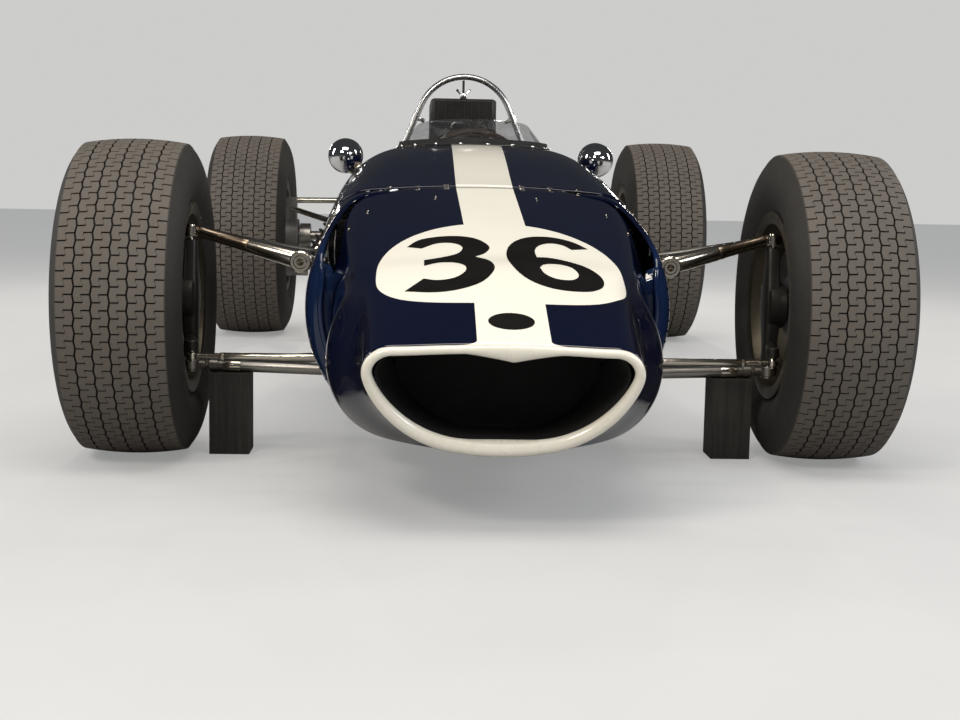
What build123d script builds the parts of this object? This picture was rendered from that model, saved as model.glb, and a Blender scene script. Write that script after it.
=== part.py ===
from build123d import *
import os

# Open wheel single seat racing car, all sizes in millimetres
# X to the car's left, the nose points along -Y, +Z up, ground at Z 0
os.makedirs("parts", exist_ok=True)

# Main stations and wheel sizes
WHEELBASE = 2451.0
FRONT_AXLE = -1080.0
REAR_AXLE = FRONT_AXLE + WHEELBASE
FRONT_TRACK = 1524.0
REAR_TRACK = 1549.0
FRONT_TYRE_R = 346.0
REAR_TYRE_R = 375.0
TAIL_Y = REAR_AXLE + 555.0

# Running gaps and seats
SHAFT_FIT = 0.05
SEAT_GAP = 0.3
SWING_GAP = 6.0

# Body skin
SKIN = 5.0
TUB_WALL = 14.0
CONE_BACK = -1318.0
PANEL_BACK = -1020.0
SCUTTLE_FRONT = PANEL_BACK + SEAT_GAP
COWL_BACK = -480.0
TUB_FRONT = -1345.0
TUB_BACK = 540.0
PANEL_FRONT_Z = 461.0
PANEL_BACK_Z = 599.0
PANEL_SLIT = 3.0
SCUTTLE_Z = 540.0
RIM_Z = 598.0
FLOOR_Z = 150.0
COCKPIT_HALF = 235.0
FOOTWELL_HALF = 205.0
COCKPIT_BACK = 430.0
BULKHEAD_BACK = -1000.0

# Engine bay
ENGINE_BACK = TUB_BACK + 545.0
ENGINE_HALF = 125.0
CRANK_Z = 265.0

# Steering geometry
KINGPIN_X = FRONT_TRACK / 2 - 112.0
KINGPIN_R = 8.0
UPPER_EYE_Z = 493.0
LOWER_EYE_Z = 196.0
EYE_HALF = 12.0
ARM_X = KINGPIN_X - 18.0
ARM_Y = FRONT_AXLE - 112.0
TIE_Z = 229.0
TIE_IN_X = 335.0
TIE_R = 8.0
COLUMN_TILT = 23.4
COLUMN_SLOPE = 0.4327
WHEEL_Y = -340.0
WHEEL_Z = 608.0
COLUMN_R = 10.0
COLUMN_HOLE_Z = WHEEL_Z - COLUMN_SLOPE * (WHEEL_Y - BULKHEAD_BACK)

# Section rows: y, lean, bottom z, bottom half width, side x, side z, top of side x and z,
# shoulder x and z, crown edge x and z, crown z
CONE_ROWS = [
    (-1797, 16.26, 152, 72, 202, 219, 247, 300, 233, 336, 182, 352, 358),
    (-1742, 0, 140, 150, 272, 262, 248, 352, 236, 376, 196, 389, 400),
    (-1473, 0, 128, 215, 312, 285, 284, 438, 270, 458, 236, 468, 480),
    (-1318, 0, 118, 240, 334, 300, 304, 476, 289, 498, 250, 509, 523),
    (-1020, 0, 112, 272, 378, 330, 350, 525, 320, 566, 250, 590, 601),
]
TUB_ROWS = [
    (-1345, 0, 112, 262, 386, 315, 343, 494, 322, 512, 262, 521, 530),
    (-1200, 0, 112, 268, 377, 318, 346, 503, 322, 536, 258, 553, 563),
    (-1020, 0, 112, 272, 378, 330, 350, 525, 320, 566, 250, 590, 601),
    (-480, 0, 112, 262, 386, 390, 343, 592, 282, 656, 189, 690, 705),
    (60, 0, 112, 262, 388, 380, 345, 598, 290, 650, 200, 676, 690),
    (540, 0, 115, 240, 345, 330, 318, 560, 284, 598, 200, 616, 625),
]
# Lip rows: distance back from the mouth plane, inset from the widest outline
LIP_ROWS = [(0, 6.0), (7, 1.0), (14, 0.0), (28.7, 0.0)]
LIP_Y = -1825.8
LIP_LEAN = 16.26
LIP_BAND = 25.0


def body_outline(row, inset):
    y, lean, low, wb, wm, zm, wt, zt, ws, zs, wc, zc, top = row
    k = inset * 0.7
    plane = Plane(Location((0, y, 0), (90 + lean, 0, 0)))
    with BuildSketch(plane) as outline:
        with BuildLine():
            Line((-wb + k, low + inset), (wb - k, low + inset))
            ThreePointArc((wb - k, low + inset), (wm - inset, zm), (wt - inset, zt))
            ThreePointArc((wt - inset, zt), (ws - k, zs - k), (wc, zc - inset))
            ThreePointArc((wc, zc - inset), (0, top - inset), (-wc, zc - inset))
            ThreePointArc((-wc, zc - inset), (-ws + k, zs - k), (-wt + inset, zt))
            ThreePointArc((-wt + inset, zt), (-wm + inset, zm), (-wb + k, low + inset))
        make_face()
    return outline.sketch


def rod(start, end, radius, end_radius=None):
    span = Vector(*end) - Vector(*start)
    with Locations(Plane(origin=start, z_dir=span).location):
        if end_radius is None:
            Cylinder(radius, span.length, align=(Align.CENTER, Align.CENTER, Align.MIN))
        else:
            Cone(radius, end_radius, span.length, align=(Align.CENTER, Align.CENTER, Align.MIN))


def block(x0, x1, y0, y1, z0, z1, mode=Mode.ADD):
    with Locations(((x0 + x1) / 2, (y0 + y1) / 2, (z0 + z1) / 2)):
        Box(x1 - x0, y1 - y0, z1 - z0, mode=mode)


def across(x0, x1, y, z, radius, mode=Mode.ADD):
    with Locations(Location(((x0 + x1) / 2, y, z), (0, 90, 0))):
        Cylinder(radius, x1 - x0, mode=mode)


def upright_pin(x, y, z0, z1, radius, mode=Mode.ADD):
    with Locations((x, y, (z0 + z1) / 2)):
        Cylinder(radius, z1 - z0, mode=mode)


# Nose cone with the top panel that reaches back over the front bay
with BuildPart() as cone_hollow:
    loft(sections=[body_outline(row, SKIN) for row in CONE_ROWS])
with BuildPart() as nose_cone:
    loft(sections=[body_outline(row, 0) for row in CONE_ROWS])
    add(cone_hollow.part, mode=Mode.SUBTRACT)
    block(-500, 500, CONE_BACK, 0, 0, PANEL_FRONT_Z, mode=Mode.SUBTRACT)
    with BuildSketch(Plane.YZ.offset(-500)):
        with BuildLine():
            Polyline((CONE_BACK, 0), (PANEL_BACK + 10, 0), (PANEL_BACK + 10, PANEL_BACK_Z),
                     (PANEL_BACK, PANEL_BACK_Z), (CONE_BACK, PANEL_FRONT_Z + 12.7), close=True)
        make_face()
    extrude(amount=1000, mode=Mode.SUBTRACT)
nose_cone.part.label = "nose_cone"

# Rounded lip around the mouth
lip_row = CONE_ROWS[0]
with BuildPart() as mouth_hole:
    loft(sections=[body_outline((LIP_Y + d,) + lip_row[1:], LIP_BAND) for d in (-1, 15, 40)])
with BuildPart() as nose_lip:
    loft(sections=[body_outline((LIP_Y + d,) + lip_row[1:], i) for d, i in LIP_ROWS])
    add(mouth_hole.part, mode=Mode.SUBTRACT)
nose_lip.part.label = "nose_lip"

# Tub: side tanks, floor, front bay walls and rear bulkhead in one riveted body
with BuildPart() as tub_outer:
    loft(sections=[body_outline(row, 0) for row in TUB_ROWS])
with BuildPart() as bay_hollow:
    loft(sections=[body_outline(row, TUB_WALL) for row in TUB_ROWS[:3]])
with BuildPart() as cowl_hollow:
    loft(sections=[body_outline(row, SKIN) for row in TUB_ROWS])
with BuildPart() as monocoque_tub:
    add(tub_outer.part)
    add(bay_hollow.part, mode=Mode.SUBTRACT)
    with BuildSketch(Plane.YZ.offset(-500)):
        with BuildLine():
            Polyline((TUB_FRONT - 10, PANEL_FRONT_Z - 4.2 - PANEL_SLIT),
                     (PANEL_BACK, PANEL_BACK_Z - PANEL_SLIT), (PANEL_BACK, 900), (TUB_FRONT - 10, 900),
                     close=True)
        make_face()
    extrude(amount=1000, mode=Mode.SUBTRACT)
    block(-500, 500, PANEL_BACK, COWL_BACK, SCUTTLE_Z, 900, mode=Mode.SUBTRACT)
    block(-500, 500, COWL_BACK, TUB_BACK + 10, RIM_Z, 900, mode=Mode.SUBTRACT)
    block(-290, 290, TUB_FRONT - 10, CONE_BACK + 20, 0, 145, mode=Mode.SUBTRACT)
    block(-FOOTWELL_HALF, FOOTWELL_HALF, BULKHEAD_BACK, -540, FLOOR_Z, 900, mode=Mode.SUBTRACT)
    with BuildSketch(Plane.YZ.offset(-COCKPIT_HALF)):
        with BuildLine():
            Polyline((-541, FLOOR_Z), (230, FLOOR_Z), (COCKPIT_BACK, 480), (COCKPIT_BACK, 700),
                     (-541, 700), close=True)
        make_face()
    extrude(amount=2 * COCKPIT_HALF, mode=Mode.SUBTRACT)
    block(-420, 420, ARM_Y - 30, ARM_Y + 30, TIE_Z - 22, TIE_Z + 22, mode=Mode.SUBTRACT)
    with Locations(Location((0, BULKHEAD_BACK, COLUMN_HOLE_Z), (90 + COLUMN_TILT, 0, 0))):
        Cylinder(18, 120, mode=Mode.SUBTRACT)
    for side in (-1, 1):
        with BuildSketch(Plane.XZ.offset(-TUB_BACK)):
            with Locations((side * (ENGINE_HALF + 74), 208)):
                Rectangle(142, 182)
        with BuildSketch(Plane.XZ.offset(-ENGINE_BACK)):
            with Locations((side * (ENGINE_HALF + 50), 192)):
                Rectangle(94, 146)
        loft()
monocoque_tub.part.label = "monocoque_tub"

# Scuttle panel that runs back round the cockpit as its surround
SURROUND_BACK = 440.0
OPENING_HALF = 205.0
OPENING_TURN = -300.0
with BuildPart() as scuttle_panel:
    add(tub_outer.part)
    add(cowl_hollow.part, mode=Mode.SUBTRACT)
    block(-500, 500, TUB_FRONT - 10, SCUTTLE_FRONT, 0, 900, mode=Mode.SUBTRACT)
    block(-500, 500, SURROUND_BACK, TUB_BACK + 10, 0, 900, mode=Mode.SUBTRACT)
    block(-500, 500, TUB_FRONT - 10, TUB_BACK + 10, 0, SCUTTLE_Z, mode=Mode.SUBTRACT)
    block(-500, 500, COWL_BACK, TUB_BACK + 10, 0, RIM_Z, mode=Mode.SUBTRACT)
    with BuildSketch(Plane.XY.offset(SCUTTLE_Z)):
        with BuildLine():
            Polyline((-OPENING_HALF, OPENING_TURN), (-OPENING_HALF, TUB_BACK), (OPENING_HALF, TUB_BACK),
                     (OPENING_HALF, OPENING_TURN))
            ThreePointArc((OPENING_HALF, OPENING_TURN), (0, COWL_BACK), (-OPENING_HALF, OPENING_TURN))
        make_face()
    extrude(amount=300, mode=Mode.SUBTRACT)
scuttle_panel.part.label = "scuttle_panel"

# Wrap round windscreen standing on the scuttle
SCREEN_TOP = 773.0
SCREEN_THICK = 4.0
SCREEN_ROWS = [(560, 292, -720, -400), (780, 136, -386, -250)]
SCREEN_END = 420.0


def screen_outline(row, inset):
    z, half, front, turn = row
    with BuildSketch(Plane.XY.offset(z)) as outline:
        with BuildLine():
            Polyline((-half + inset, turn), (-half + inset, SCREEN_END), (half - inset, SCREEN_END),
                     (half - inset, turn))
            ThreePointArc((half - inset, turn), (0, front + inset), (-half + inset, turn))
        make_face()
    return outline.sketch


with BuildPart() as screen_hollow:
    loft(sections=[screen_outline(row, SCREEN_THICK) for row in SCREEN_ROWS])
with BuildPart() as windscreen:
    loft(sections=[screen_outline(row, 0) for row in SCREEN_ROWS])
    add(screen_hollow.part, mode=Mode.SUBTRACT)
    with BuildSketch(Plane.YZ.offset(-400)):
        with BuildLine():
            Polyline((-800, SCREEN_TOP), (-400, SCREEN_TOP), (-330, 765), (-271, 755), (-200, 722), (-100, 664),
                     (-100, 500), (SCREEN_END + 10, 500), (SCREEN_END + 10, 800), (-800, 800), close=True)
        make_face()
    extrude(amount=800, mode=Mode.SUBTRACT)
    add(tub_outer.part, mode=Mode.SUBTRACT)
windscreen.part.label = "windscreen"

# Tubes that carry the radiator ahead of the front bulkhead
RAIL_X = 120.0
RAIL_Z = 182.0
RADIATOR_Y = -1700.0
RADIATOR_DEEP = 46.0
with BuildPart() as radiator_rails:
    for side in (-1, 1):
        rod((side * RAIL_X, PANEL_BACK, RAIL_Z), (side * RAIL_X, RADIATOR_Y + RADIATOR_DEEP, RAIL_Z), 11)
radiator_rails.part.label = "radiator_rails"

# Radiator core between two tanks
with BuildPart() as radiator:
    block(-165, 165, RADIATOR_Y, RADIATOR_Y + RADIATOR_DEEP, 168, 356)
    block(-188, -165, RADIATOR_Y - 6, RADIATOR_Y + RADIATOR_DEEP + 6, 182, 350)
    block(165, 188, RADIATOR_Y - 6, RADIATOR_Y + RADIATOR_DEEP + 6, 182, 350)
radiator.part.label = "radiator"

# Roll hoop: straight legs leaning in to a round crown
HOOP_Y = 470.0
HOOP_R = 9.5
HOOP_FOOT = (241.2, 602.5)
HOOP_TURN = (139.9, 840.4)
HOOP_TOP = 933.0
with BuildPart() as roll_hoop:
    with BuildLine() as hoop_path:
        Line((-HOOP_FOOT[0], HOOP_Y, HOOP_FOOT[1]), (-HOOP_TURN[0], HOOP_Y, HOOP_TURN[1]))
        ThreePointArc((-HOOP_TURN[0], HOOP_Y, HOOP_TURN[1]), (0, HOOP_Y, HOOP_TOP),
                      (HOOP_TURN[0], HOOP_Y, HOOP_TURN[1]))
        Line((HOOP_TURN[0], HOOP_Y, HOOP_TURN[1]), (HOOP_FOOT[0], HOOP_Y, HOOP_FOOT[1]))
    with BuildSketch(Plane(origin=hoop_path.line @ 0, z_dir=hoop_path.line % 0)):
        Circle(HOOP_R)
    sweep(path=hoop_path.line)
    for side in (-1, 1):
        block(side * HOOP_FOOT[0] - 25, side * HOOP_FOOT[0] + 25, HOOP_Y - 25, HOOP_Y + 25, RIM_Z, RIM_Z + 5)
roll_hoop.part.label = "roll_hoop"

# Seat shell lying back in the tub
with BuildPart() as seat:
    with BuildSketch(Plane.YZ.offset(-190)):
        with BuildLine():
            Polyline((-300, FLOOR_Z), (215, FLOOR_Z), (418, 485), (418, 592), (396, 592),
                     (396, 492), (190, 178), (-60, 172), (-300, 200), close=True)
        make_face()
    extrude(amount=380)
seat.part.label = "seat"

# Dashboard closing the cowl
DASH_Y = -500.0
with BuildPart() as dashboard:
    with BuildSketch(Plane.XZ.offset(-DASH_Y)):
        with BuildLine():
            Polyline((-200, 500), (-60, 470), (60, 470), (200, 500), (200, 640), (120, 672),
                     (-120, 672), (-200, 640), close=True)
        make_face()
    extrude(amount=6)
    block(-FOOTWELL_HALF - 30, -200, DASH_Y - 6, DASH_Y, 500, 530)
    block(200, FOOTWELL_HALF + 30, DASH_Y - 6, DASH_Y, 500, 530)
dashboard.part.label = "dashboard"

# Engine: twelve cylinder vee block with its heads
# A place in a bank is given by its distance from the crank along the bank and its offset outwards
BANK_OUTLINE = [(215, 54), (215, 74), (300, 74), (300, -74), (215, -74), (215, -54)]
COVER_OUTLINE = [(300.3, 58), (326, 62), (348, 40), (348, -40), (326, -62), (300.3, -58)]


def bank_point(along, outwards):
    return (0.5 * along + 0.866 * outwards, CRANK_Z + 0.866 * along - 0.5 * outwards)


bank = [bank_point(*p) for p in BANK_OUTLINE]
half_block = [(0, 130), (115, 130), (ENGINE_HALF - 0.3, 235), (114, 300), (114, 338)] + bank + [(20, 425)]
with BuildPart() as engine_block:
    with BuildSketch(Plane.XZ.offset(-TUB_BACK)):
        with BuildLine():
            Polyline(*half_block, *[(-x, z) for x, z in half_block[:0:-1]], close=True)
        make_face()
    extrude(amount=-(ENGINE_BACK - TUB_BACK))
engine_block.part.label = "engine_block"

with BuildPart() as cam_cover_left:
    with BuildSketch(Plane.XZ.offset(-TUB_BACK - 20)):
        with BuildLine():
            Polyline(*[bank_point(*p) for p in COVER_OUTLINE], close=True)
        make_face()
    extrude(amount=-(ENGINE_BACK - TUB_BACK - 40))
cam_cover_left.part.label = "cam_cover_left"
with BuildPart() as cam_cover_right:
    add(mirror(cam_cover_left.part, about=Plane.YZ))
cam_cover_right.part.label = "cam_cover_right"

# Twelve intake trumpets in the vee, on the tray of their gauze cover
TRUMPET_X = 58.0
TRUMPET_FOOT = 505.0
TRUMPET_TOP = 812.0
TRUMPET_YS = [635, 713, 791, 869, 947, 1025]
TRAY_Z = 700.0
TRAY_HALF = 107.0
with BuildPart() as intake_trumpets:
    block(-TRAY_HALF, TRAY_HALF, TRUMPET_YS[0] - 45, TRUMPET_YS[-1] + 45, TRAY_Z - 4, TRAY_Z)
    for y in TRUMPET_YS:
        for side in (-1, 1):
            rod((side * TRUMPET_X, y, TRUMPET_FOOT), (side * TRUMPET_X, y, TRUMPET_TOP - 45), 24)
            rod((side * TRUMPET_X, y, TRUMPET_TOP - 45), (side * TRUMPET_X, y, TRUMPET_TOP), 24, 34)
            with Locations((side * TRUMPET_X, y, TRUMPET_TOP - 22)):
                Cone(20, 32, 46, mode=Mode.SUBTRACT)
            upright_pin(side * TRUMPET_X, y, TRUMPET_TOP - 110, TRUMPET_TOP - 40, 20, mode=Mode.SUBTRACT)
    add(engine_block.part, mode=Mode.SUBTRACT)
intake_trumpets.part.label = "intake_trumpets"

# Gauze cover over the trumpets with its holding stud
COVER_TOP = 868.0
COVER_WALL = 3.0
STUD_TOP = 930.0
with BuildPart() as intake_cover:
    block(-TRAY_HALF, TRAY_HALF, TRUMPET_YS[0] - 45, TRUMPET_YS[-1] + 45, TRAY_Z, COVER_TOP)
    fillet(intake_cover.edges().group_by(Axis.Z)[-1], 8)
    block(-TRAY_HALF + COVER_WALL, TRAY_HALF - COVER_WALL, TRUMPET_YS[0] - 45 + COVER_WALL,
          TRUMPET_YS[-1] + 45 - COVER_WALL, TRAY_Z, COVER_TOP - COVER_WALL, mode=Mode.SUBTRACT)
    upright_pin(0, TRUMPET_YS[0] - 20, COVER_TOP - COVER_WALL, STUD_TOP, 4)
    upright_pin(0, TRUMPET_YS[0] - 20, COVER_TOP - COVER_WALL, COVER_TOP + 7, 11)
intake_cover.part.label = "intake_cover"

# Gearbox with its final drive on the rear axle line
BELL_BACK = ENGINE_BACK + 150.0
CASE_BACK = REAR_AXLE + 114.0
JACK_BACK = CASE_BACK + 260.0
with BuildPart() as gearbox:
    with BuildSketch(Plane.XZ.offset(-ENGINE_BACK)):
        with Locations((0, REAR_TYRE_R - 70)):
            RectangleRounded(220, 340, 60)
    with BuildSketch(Plane.XZ.offset(-BELL_BACK)):
        with Locations((0, REAR_TYRE_R)):
            RectangleRounded(200, 250, 50)
    loft()
    with BuildSketch(Plane.XZ.offset(-BELL_BACK)):
        with Locations((0, REAR_TYRE_R)):
            RectangleRounded(200, 250, 50)
    extrude(amount=-(CASE_BACK - BELL_BACK))
    with BuildSketch(Plane.XZ.offset(-CASE_BACK)):
        with Locations((0, REAR_TYRE_R - 15)):
            RectangleRounded(160, 190, 40)
    extrude(amount=-(JACK_BACK - CASE_BACK))
    across(-130, 130, REAR_AXLE, REAR_TYRE_R, 58)
    block(-92, 92, REAR_AXLE - 10, REAR_AXLE + 50, REAR_TYRE_R + 115, REAR_TYRE_R + 155)
    across(-131, 131, REAR_AXLE, REAR_TYRE_R, 20 + SHAFT_FIT, mode=Mode.SUBTRACT)
gearbox.part.label = "gearbox"

# Exhausts: on each side two tail pipes, each of them fed by three cylinders
# Rows: first port, place x and z of the collector, its y, place x of the tail pipe
PIPE_R = 17.0
TAIL_R = 27.0
TAIL_END_R = 32.0
TAIL_STRAIGHT = 90.0
TAIL_Z = REAR_TYRE_R + 75.0
PORT = bank_point(255, 60)
GROUPS = [(0, 306, 385, 870, 300), (3, 230, 412, 1090, 196)]
LANES = [(18, -10), (-18, -10), (0, 20)]
with BuildPart() as exhaust_right:
    for first, x, z, y, tail_x in GROUPS:
        for port_y, (dx, dz) in zip(TRUMPET_YS[first:first + 3], LANES):
            bend = (-x - dx, port_y + 34, z + dz)
            rod((-PORT[0], port_y, PORT[1]), bend, PIPE_R)
            with Locations(bend):
                Sphere(PIPE_R)
            rod(bend, (-x - dx, y + 8, z + dz), PIPE_R)
        neck = (-x, y + 75, z)
        rise = (-tail_x, REAR_AXLE - 110, TAIL_Z)
        straight = (-tail_x, TAIL_Y - TAIL_STRAIGHT, TAIL_Z)
        tip = (-tail_x, TAIL_Y, TAIL_Z)
        rod((-x, y, z), neck, 40, TAIL_R)
        with Locations(neck, rise):
            Sphere(TAIL_R)
        rod(neck, rise, TAIL_R)
        rod(rise, straight, TAIL_R, TAIL_END_R)
        rod(straight, tip, TAIL_END_R)
        with Locations(Location(tip, (-90, 0, 0))):
            Cone(24, 29, 300, mode=Mode.SUBTRACT)
    add(engine_block.part, mode=Mode.SUBTRACT)
exhaust_right.part.label = "exhaust_right"
with BuildPart() as exhaust_left:
    add(mirror(exhaust_right.part, about=Plane.YZ))
exhaust_left.part.label = "exhaust_left"

# Rear uprights
UPRIGHT_IN = REAR_TRACK / 2 - 174.5
UPRIGHT_OUT = UPRIGHT_IN + 56.0
LINK_X = UPRIGHT_IN + 30.0
LINK_Z = REAR_TYRE_R + 133.0
HUB_R = 25.0
with BuildPart() as rear_upright_left:
    block(UPRIGHT_IN + 8, UPRIGHT_OUT - 8, REAR_AXLE - 34, REAR_AXLE + 34, 225, LINK_Z + 12)
    across(UPRIGHT_IN, UPRIGHT_OUT, REAR_AXLE, REAR_TYRE_R, 62)
    block(UPRIGHT_IN + 8, UPRIGHT_OUT - 8, REAR_AXLE - 75, REAR_AXLE + 75, 225, 262)
    block(UPRIGHT_IN - 40, UPRIGHT_IN + 8, REAR_AXLE - 110, REAR_AXLE - 60, 228, 244)
    block(UPRIGHT_IN + 8, UPRIGHT_OUT - 8, REAR_AXLE - 110, REAR_AXLE - 34, 228, 244)
    across(UPRIGHT_IN - 20, UPRIGHT_OUT + 20, REAR_AXLE, REAR_TYRE_R, HUB_R + SHAFT_FIT,
           mode=Mode.SUBTRACT)
rear_upright_left.part.label = "rear_upright_left"
with BuildPart() as rear_upright_right:
    add(mirror(rear_upright_left.part, about=Plane.YZ))
rear_upright_right.part.label = "rear_upright_right"

# Rear links: lower wishbone, top link and two long radius rods a side
with BuildPart() as rear_links_left:
    rod((60, REAR_AXLE, 300), (LINK_X, REAR_AXLE - 55, 244), 12)
    rod((60, REAR_AXLE, 300), (LINK_X, REAR_AXLE + 55, 244), 12)
    rod((60, REAR_AXLE + 20, LINK_Z + 6), (LINK_X, REAR_AXLE + 20, LINK_Z), 11)
    rod((330, TUB_BACK - 30, 430), (LINK_X, REAR_AXLE - 25, LINK_Z - 28), 10)
    rod((290, TUB_BACK - 30, 205), (LINK_X, REAR_AXLE - 60, 252), 10)
    add(gearbox.part, mode=Mode.SUBTRACT)
    add(rear_upright_left.part, mode=Mode.SUBTRACT)
    add(monocoque_tub.part, mode=Mode.SUBTRACT)
    block(-600, 55, 0, JACK_BACK, 0, 900, mode=Mode.SUBTRACT)
    block(UPRIGHT_IN + 20, UPRIGHT_IN + 100, 0, JACK_BACK, 0, 900, mode=Mode.SUBTRACT)
rear_links_left.part.label = "rear_links_left"
with BuildPart() as rear_links_right:
    add(mirror(rear_links_left.part, about=Plane.YZ))
rear_links_right.part.label = "rear_links_right"

# Cross tube on the gearbox that carries the spring tops
CROSS_Y = REAR_AXLE - 85.0
CROSS_Z = REAR_TYRE_R + 229.0
with BuildPart() as rear_crossmember:
    across(-345, 345, CROSS_Y, CROSS_Z, 14)
    block(-85, -65, CROSS_Y - 18, CROSS_Y + 18, REAR_TYRE_R + 125, CROSS_Z)
    block(65, 85, CROSS_Y - 18, CROSS_Y + 18, REAR_TYRE_R + 125, CROSS_Z)
rear_crossmember.part.label = "rear_crossmember"

# Rear spring and damper units
COIL_FOOT = (UPRIGHT_IN - 16.0, CROSS_Y, 244.0)
COIL_TOP = (330.0, CROSS_Y, CROSS_Z - 4.0)
COIL_TURNS = 9


def between(start, end, share):
    return tuple(p + (q - p) * share for p, q in zip(start, end))


with BuildPart() as rear_coilover_left:
    rod(COIL_FOOT, COIL_TOP, 11)
    rod(between(COIL_FOOT, COIL_TOP, 0.106), between(COIL_FOOT, COIL_TOP, 0.878), 24)
    for turn in range(COIL_TURNS):
        p = between(COIL_FOOT, COIL_TOP, 0.199 + 0.0695 * turn)
        with Locations(Plane(origin=p, z_dir=Vector(*COIL_TOP) - Vector(*COIL_FOOT)).location):
            Cylinder(40, 10)
    block(COIL_FOOT[0] - 12, COIL_FOOT[0] + 12, CROSS_Y - 12, CROSS_Y + 12, 244, 262)
    block(COIL_FOOT[0] - 84, COIL_FOOT[0] + 56, CROSS_Y - 60, CROSS_Y + 60, 200, 244, mode=Mode.SUBTRACT)
    add(rear_crossmember.part, mode=Mode.SUBTRACT)
    block(200, 345, CROSS_Y - 60, CROSS_Y + 60, CROSS_Z, 700, mode=Mode.SUBTRACT)
rear_coilover_left.part.label = "rear_coilover_left"
with BuildPart() as rear_coilover_right:
    add(mirror(rear_coilover_left.part, about=Plane.YZ))
rear_coilover_right.part.label = "rear_coilover_right"

# Front upper rocker arm and lower wishbone
with BuildPart() as upper_rocker_left:
    rod((392, FRONT_AXLE - 60, 437), (KINGPIN_X - 16, FRONT_AXLE, UPPER_EYE_Z), 23, 13)
    rod((388, FRONT_AXLE + 150, 440), (KINGPIN_X - 10, FRONT_AXLE + 6, UPPER_EYE_Z), 8)
    with Locations(Location((404, FRONT_AXLE - 60, 437), (90, 0, 0))):
        Cylinder(26, 90)
    upright_pin(KINGPIN_X, FRONT_AXLE, UPPER_EYE_Z - EYE_HALF, UPPER_EYE_Z + EYE_HALF, 20)
    upright_pin(KINGPIN_X, FRONT_AXLE, UPPER_EYE_Z - 40, UPPER_EYE_Z + 40, KINGPIN_R + SHAFT_FIT,
                mode=Mode.SUBTRACT)
    with Locations(Location((404, FRONT_AXLE - 60, 437), (90, 0, 0))):
        Cylinder(15, 92, mode=Mode.SUBTRACT)
    add(tub_outer.part, mode=Mode.SUBTRACT)
upper_rocker_left.part.label = "upper_rocker_left"
with BuildPart() as upper_rocker_right:
    add(mirror(upper_rocker_left.part, about=Plane.YZ))
upper_rocker_right.part.label = "upper_rocker_right"

with BuildPart() as lower_wishbone_left:
    rod((300, FRONT_AXLE - 20, 190), (KINGPIN_X - 10, FRONT_AXLE, LOWER_EYE_Z), 13)
    rod((300, FRONT_AXLE + 250, 190), (KINGPIN_X - 10, FRONT_AXLE + 6, LOWER_EYE_Z), 12)
    upright_pin(KINGPIN_X, FRONT_AXLE, LOWER_EYE_Z - EYE_HALF, LOWER_EYE_Z + EYE_HALF, 20)
    upright_pin(KINGPIN_X, FRONT_AXLE, LOWER_EYE_Z - 40, LOWER_EYE_Z + 40, KINGPIN_R + SHAFT_FIT,
                mode=Mode.SUBTRACT)
    add(tub_outer.part, mode=Mode.SUBTRACT)
lower_wishbone_left.part.label = "lower_wishbone_left"
with BuildPart() as lower_wishbone_right:
    add(mirror(lower_wishbone_left.part, about=Plane.YZ))
lower_wishbone_right.part.label = "lower_wishbone_right"

# Blocks that stand under the lower wishbones
BLOCK_TOP = 180.5
BLOCK_X = KINGPIN_X - 88.0
BLOCK_HALF = 44.0
with BuildPart() as stand_blocks:
    for side in (-1, 1):
        block(side * BLOCK_X - BLOCK_HALF, side * BLOCK_X + BLOCK_HALF, FRONT_AXLE - 40, FRONT_AXLE + 50,
              0, BLOCK_TOP)
stand_blocks.part.label = "stand_blocks"

# Brake discs: inner and outer face inboard of the wheel middle
DISC_IN = 72.0
DISC_OUT = 60.0
DISC_R = 130.0

# Front knuckles: post, spindle, steering arm and brake caliper
SPINDLE_R = 20.0
DISC_X0 = FRONT_TRACK / 2 - DISC_IN
DISC_X1 = FRONT_TRACK / 2 - DISC_OUT
with BuildPart() as front_upright_left:
    block(KINGPIN_X - 18, KINGPIN_X + 18, FRONT_AXLE - 18, FRONT_AXLE + 18,
          LOWER_EYE_Z + EYE_HALF + SWING_GAP, UPPER_EYE_Z - EYE_HALF - SWING_GAP)
    upright_pin(KINGPIN_X, FRONT_AXLE, LOWER_EYE_Z - EYE_HALF - 2, UPPER_EYE_Z + EYE_HALF + 2, KINGPIN_R)
    across(KINGPIN_X + 18, KINGPIN_X + 140, FRONT_AXLE, FRONT_TYRE_R, SPINDLE_R)
    across(KINGPIN_X - 10, KINGPIN_X + 28, FRONT_AXLE, FRONT_TYRE_R, 52)
    rod((KINGPIN_X, FRONT_AXLE, 252), (ARM_X, ARM_Y, 252), 10)
    upright_pin(ARM_X, ARM_Y, TIE_Z - 12, 262, 6)
    upright_pin(ARM_X, ARM_Y, 241, 264, 14)
    block(DISC_X0 - 30, DISC_X0 - 14, FRONT_AXLE + 10, FRONT_AXLE + 150, FRONT_TYRE_R - 30, FRONT_TYRE_R + 30)
    block(DISC_X0 - 24, DISC_X1 + 24, FRONT_AXLE + 96, FRONT_AXLE + 158, FRONT_TYRE_R - 38,
          FRONT_TYRE_R + 38)
    block(DISC_X0 - SWING_GAP, DISC_X1 + SWING_GAP, FRONT_AXLE + 90, FRONT_AXLE + 138,
          FRONT_TYRE_R - 60, FRONT_TYRE_R + 60, mode=Mode.SUBTRACT)
front_upright_left.part.label = "front_upright_left"
with BuildPart() as front_upright_right:
    add(mirror(front_upright_left.part, about=Plane.YZ))
front_upright_right.part.label = "front_upright_right"

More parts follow.
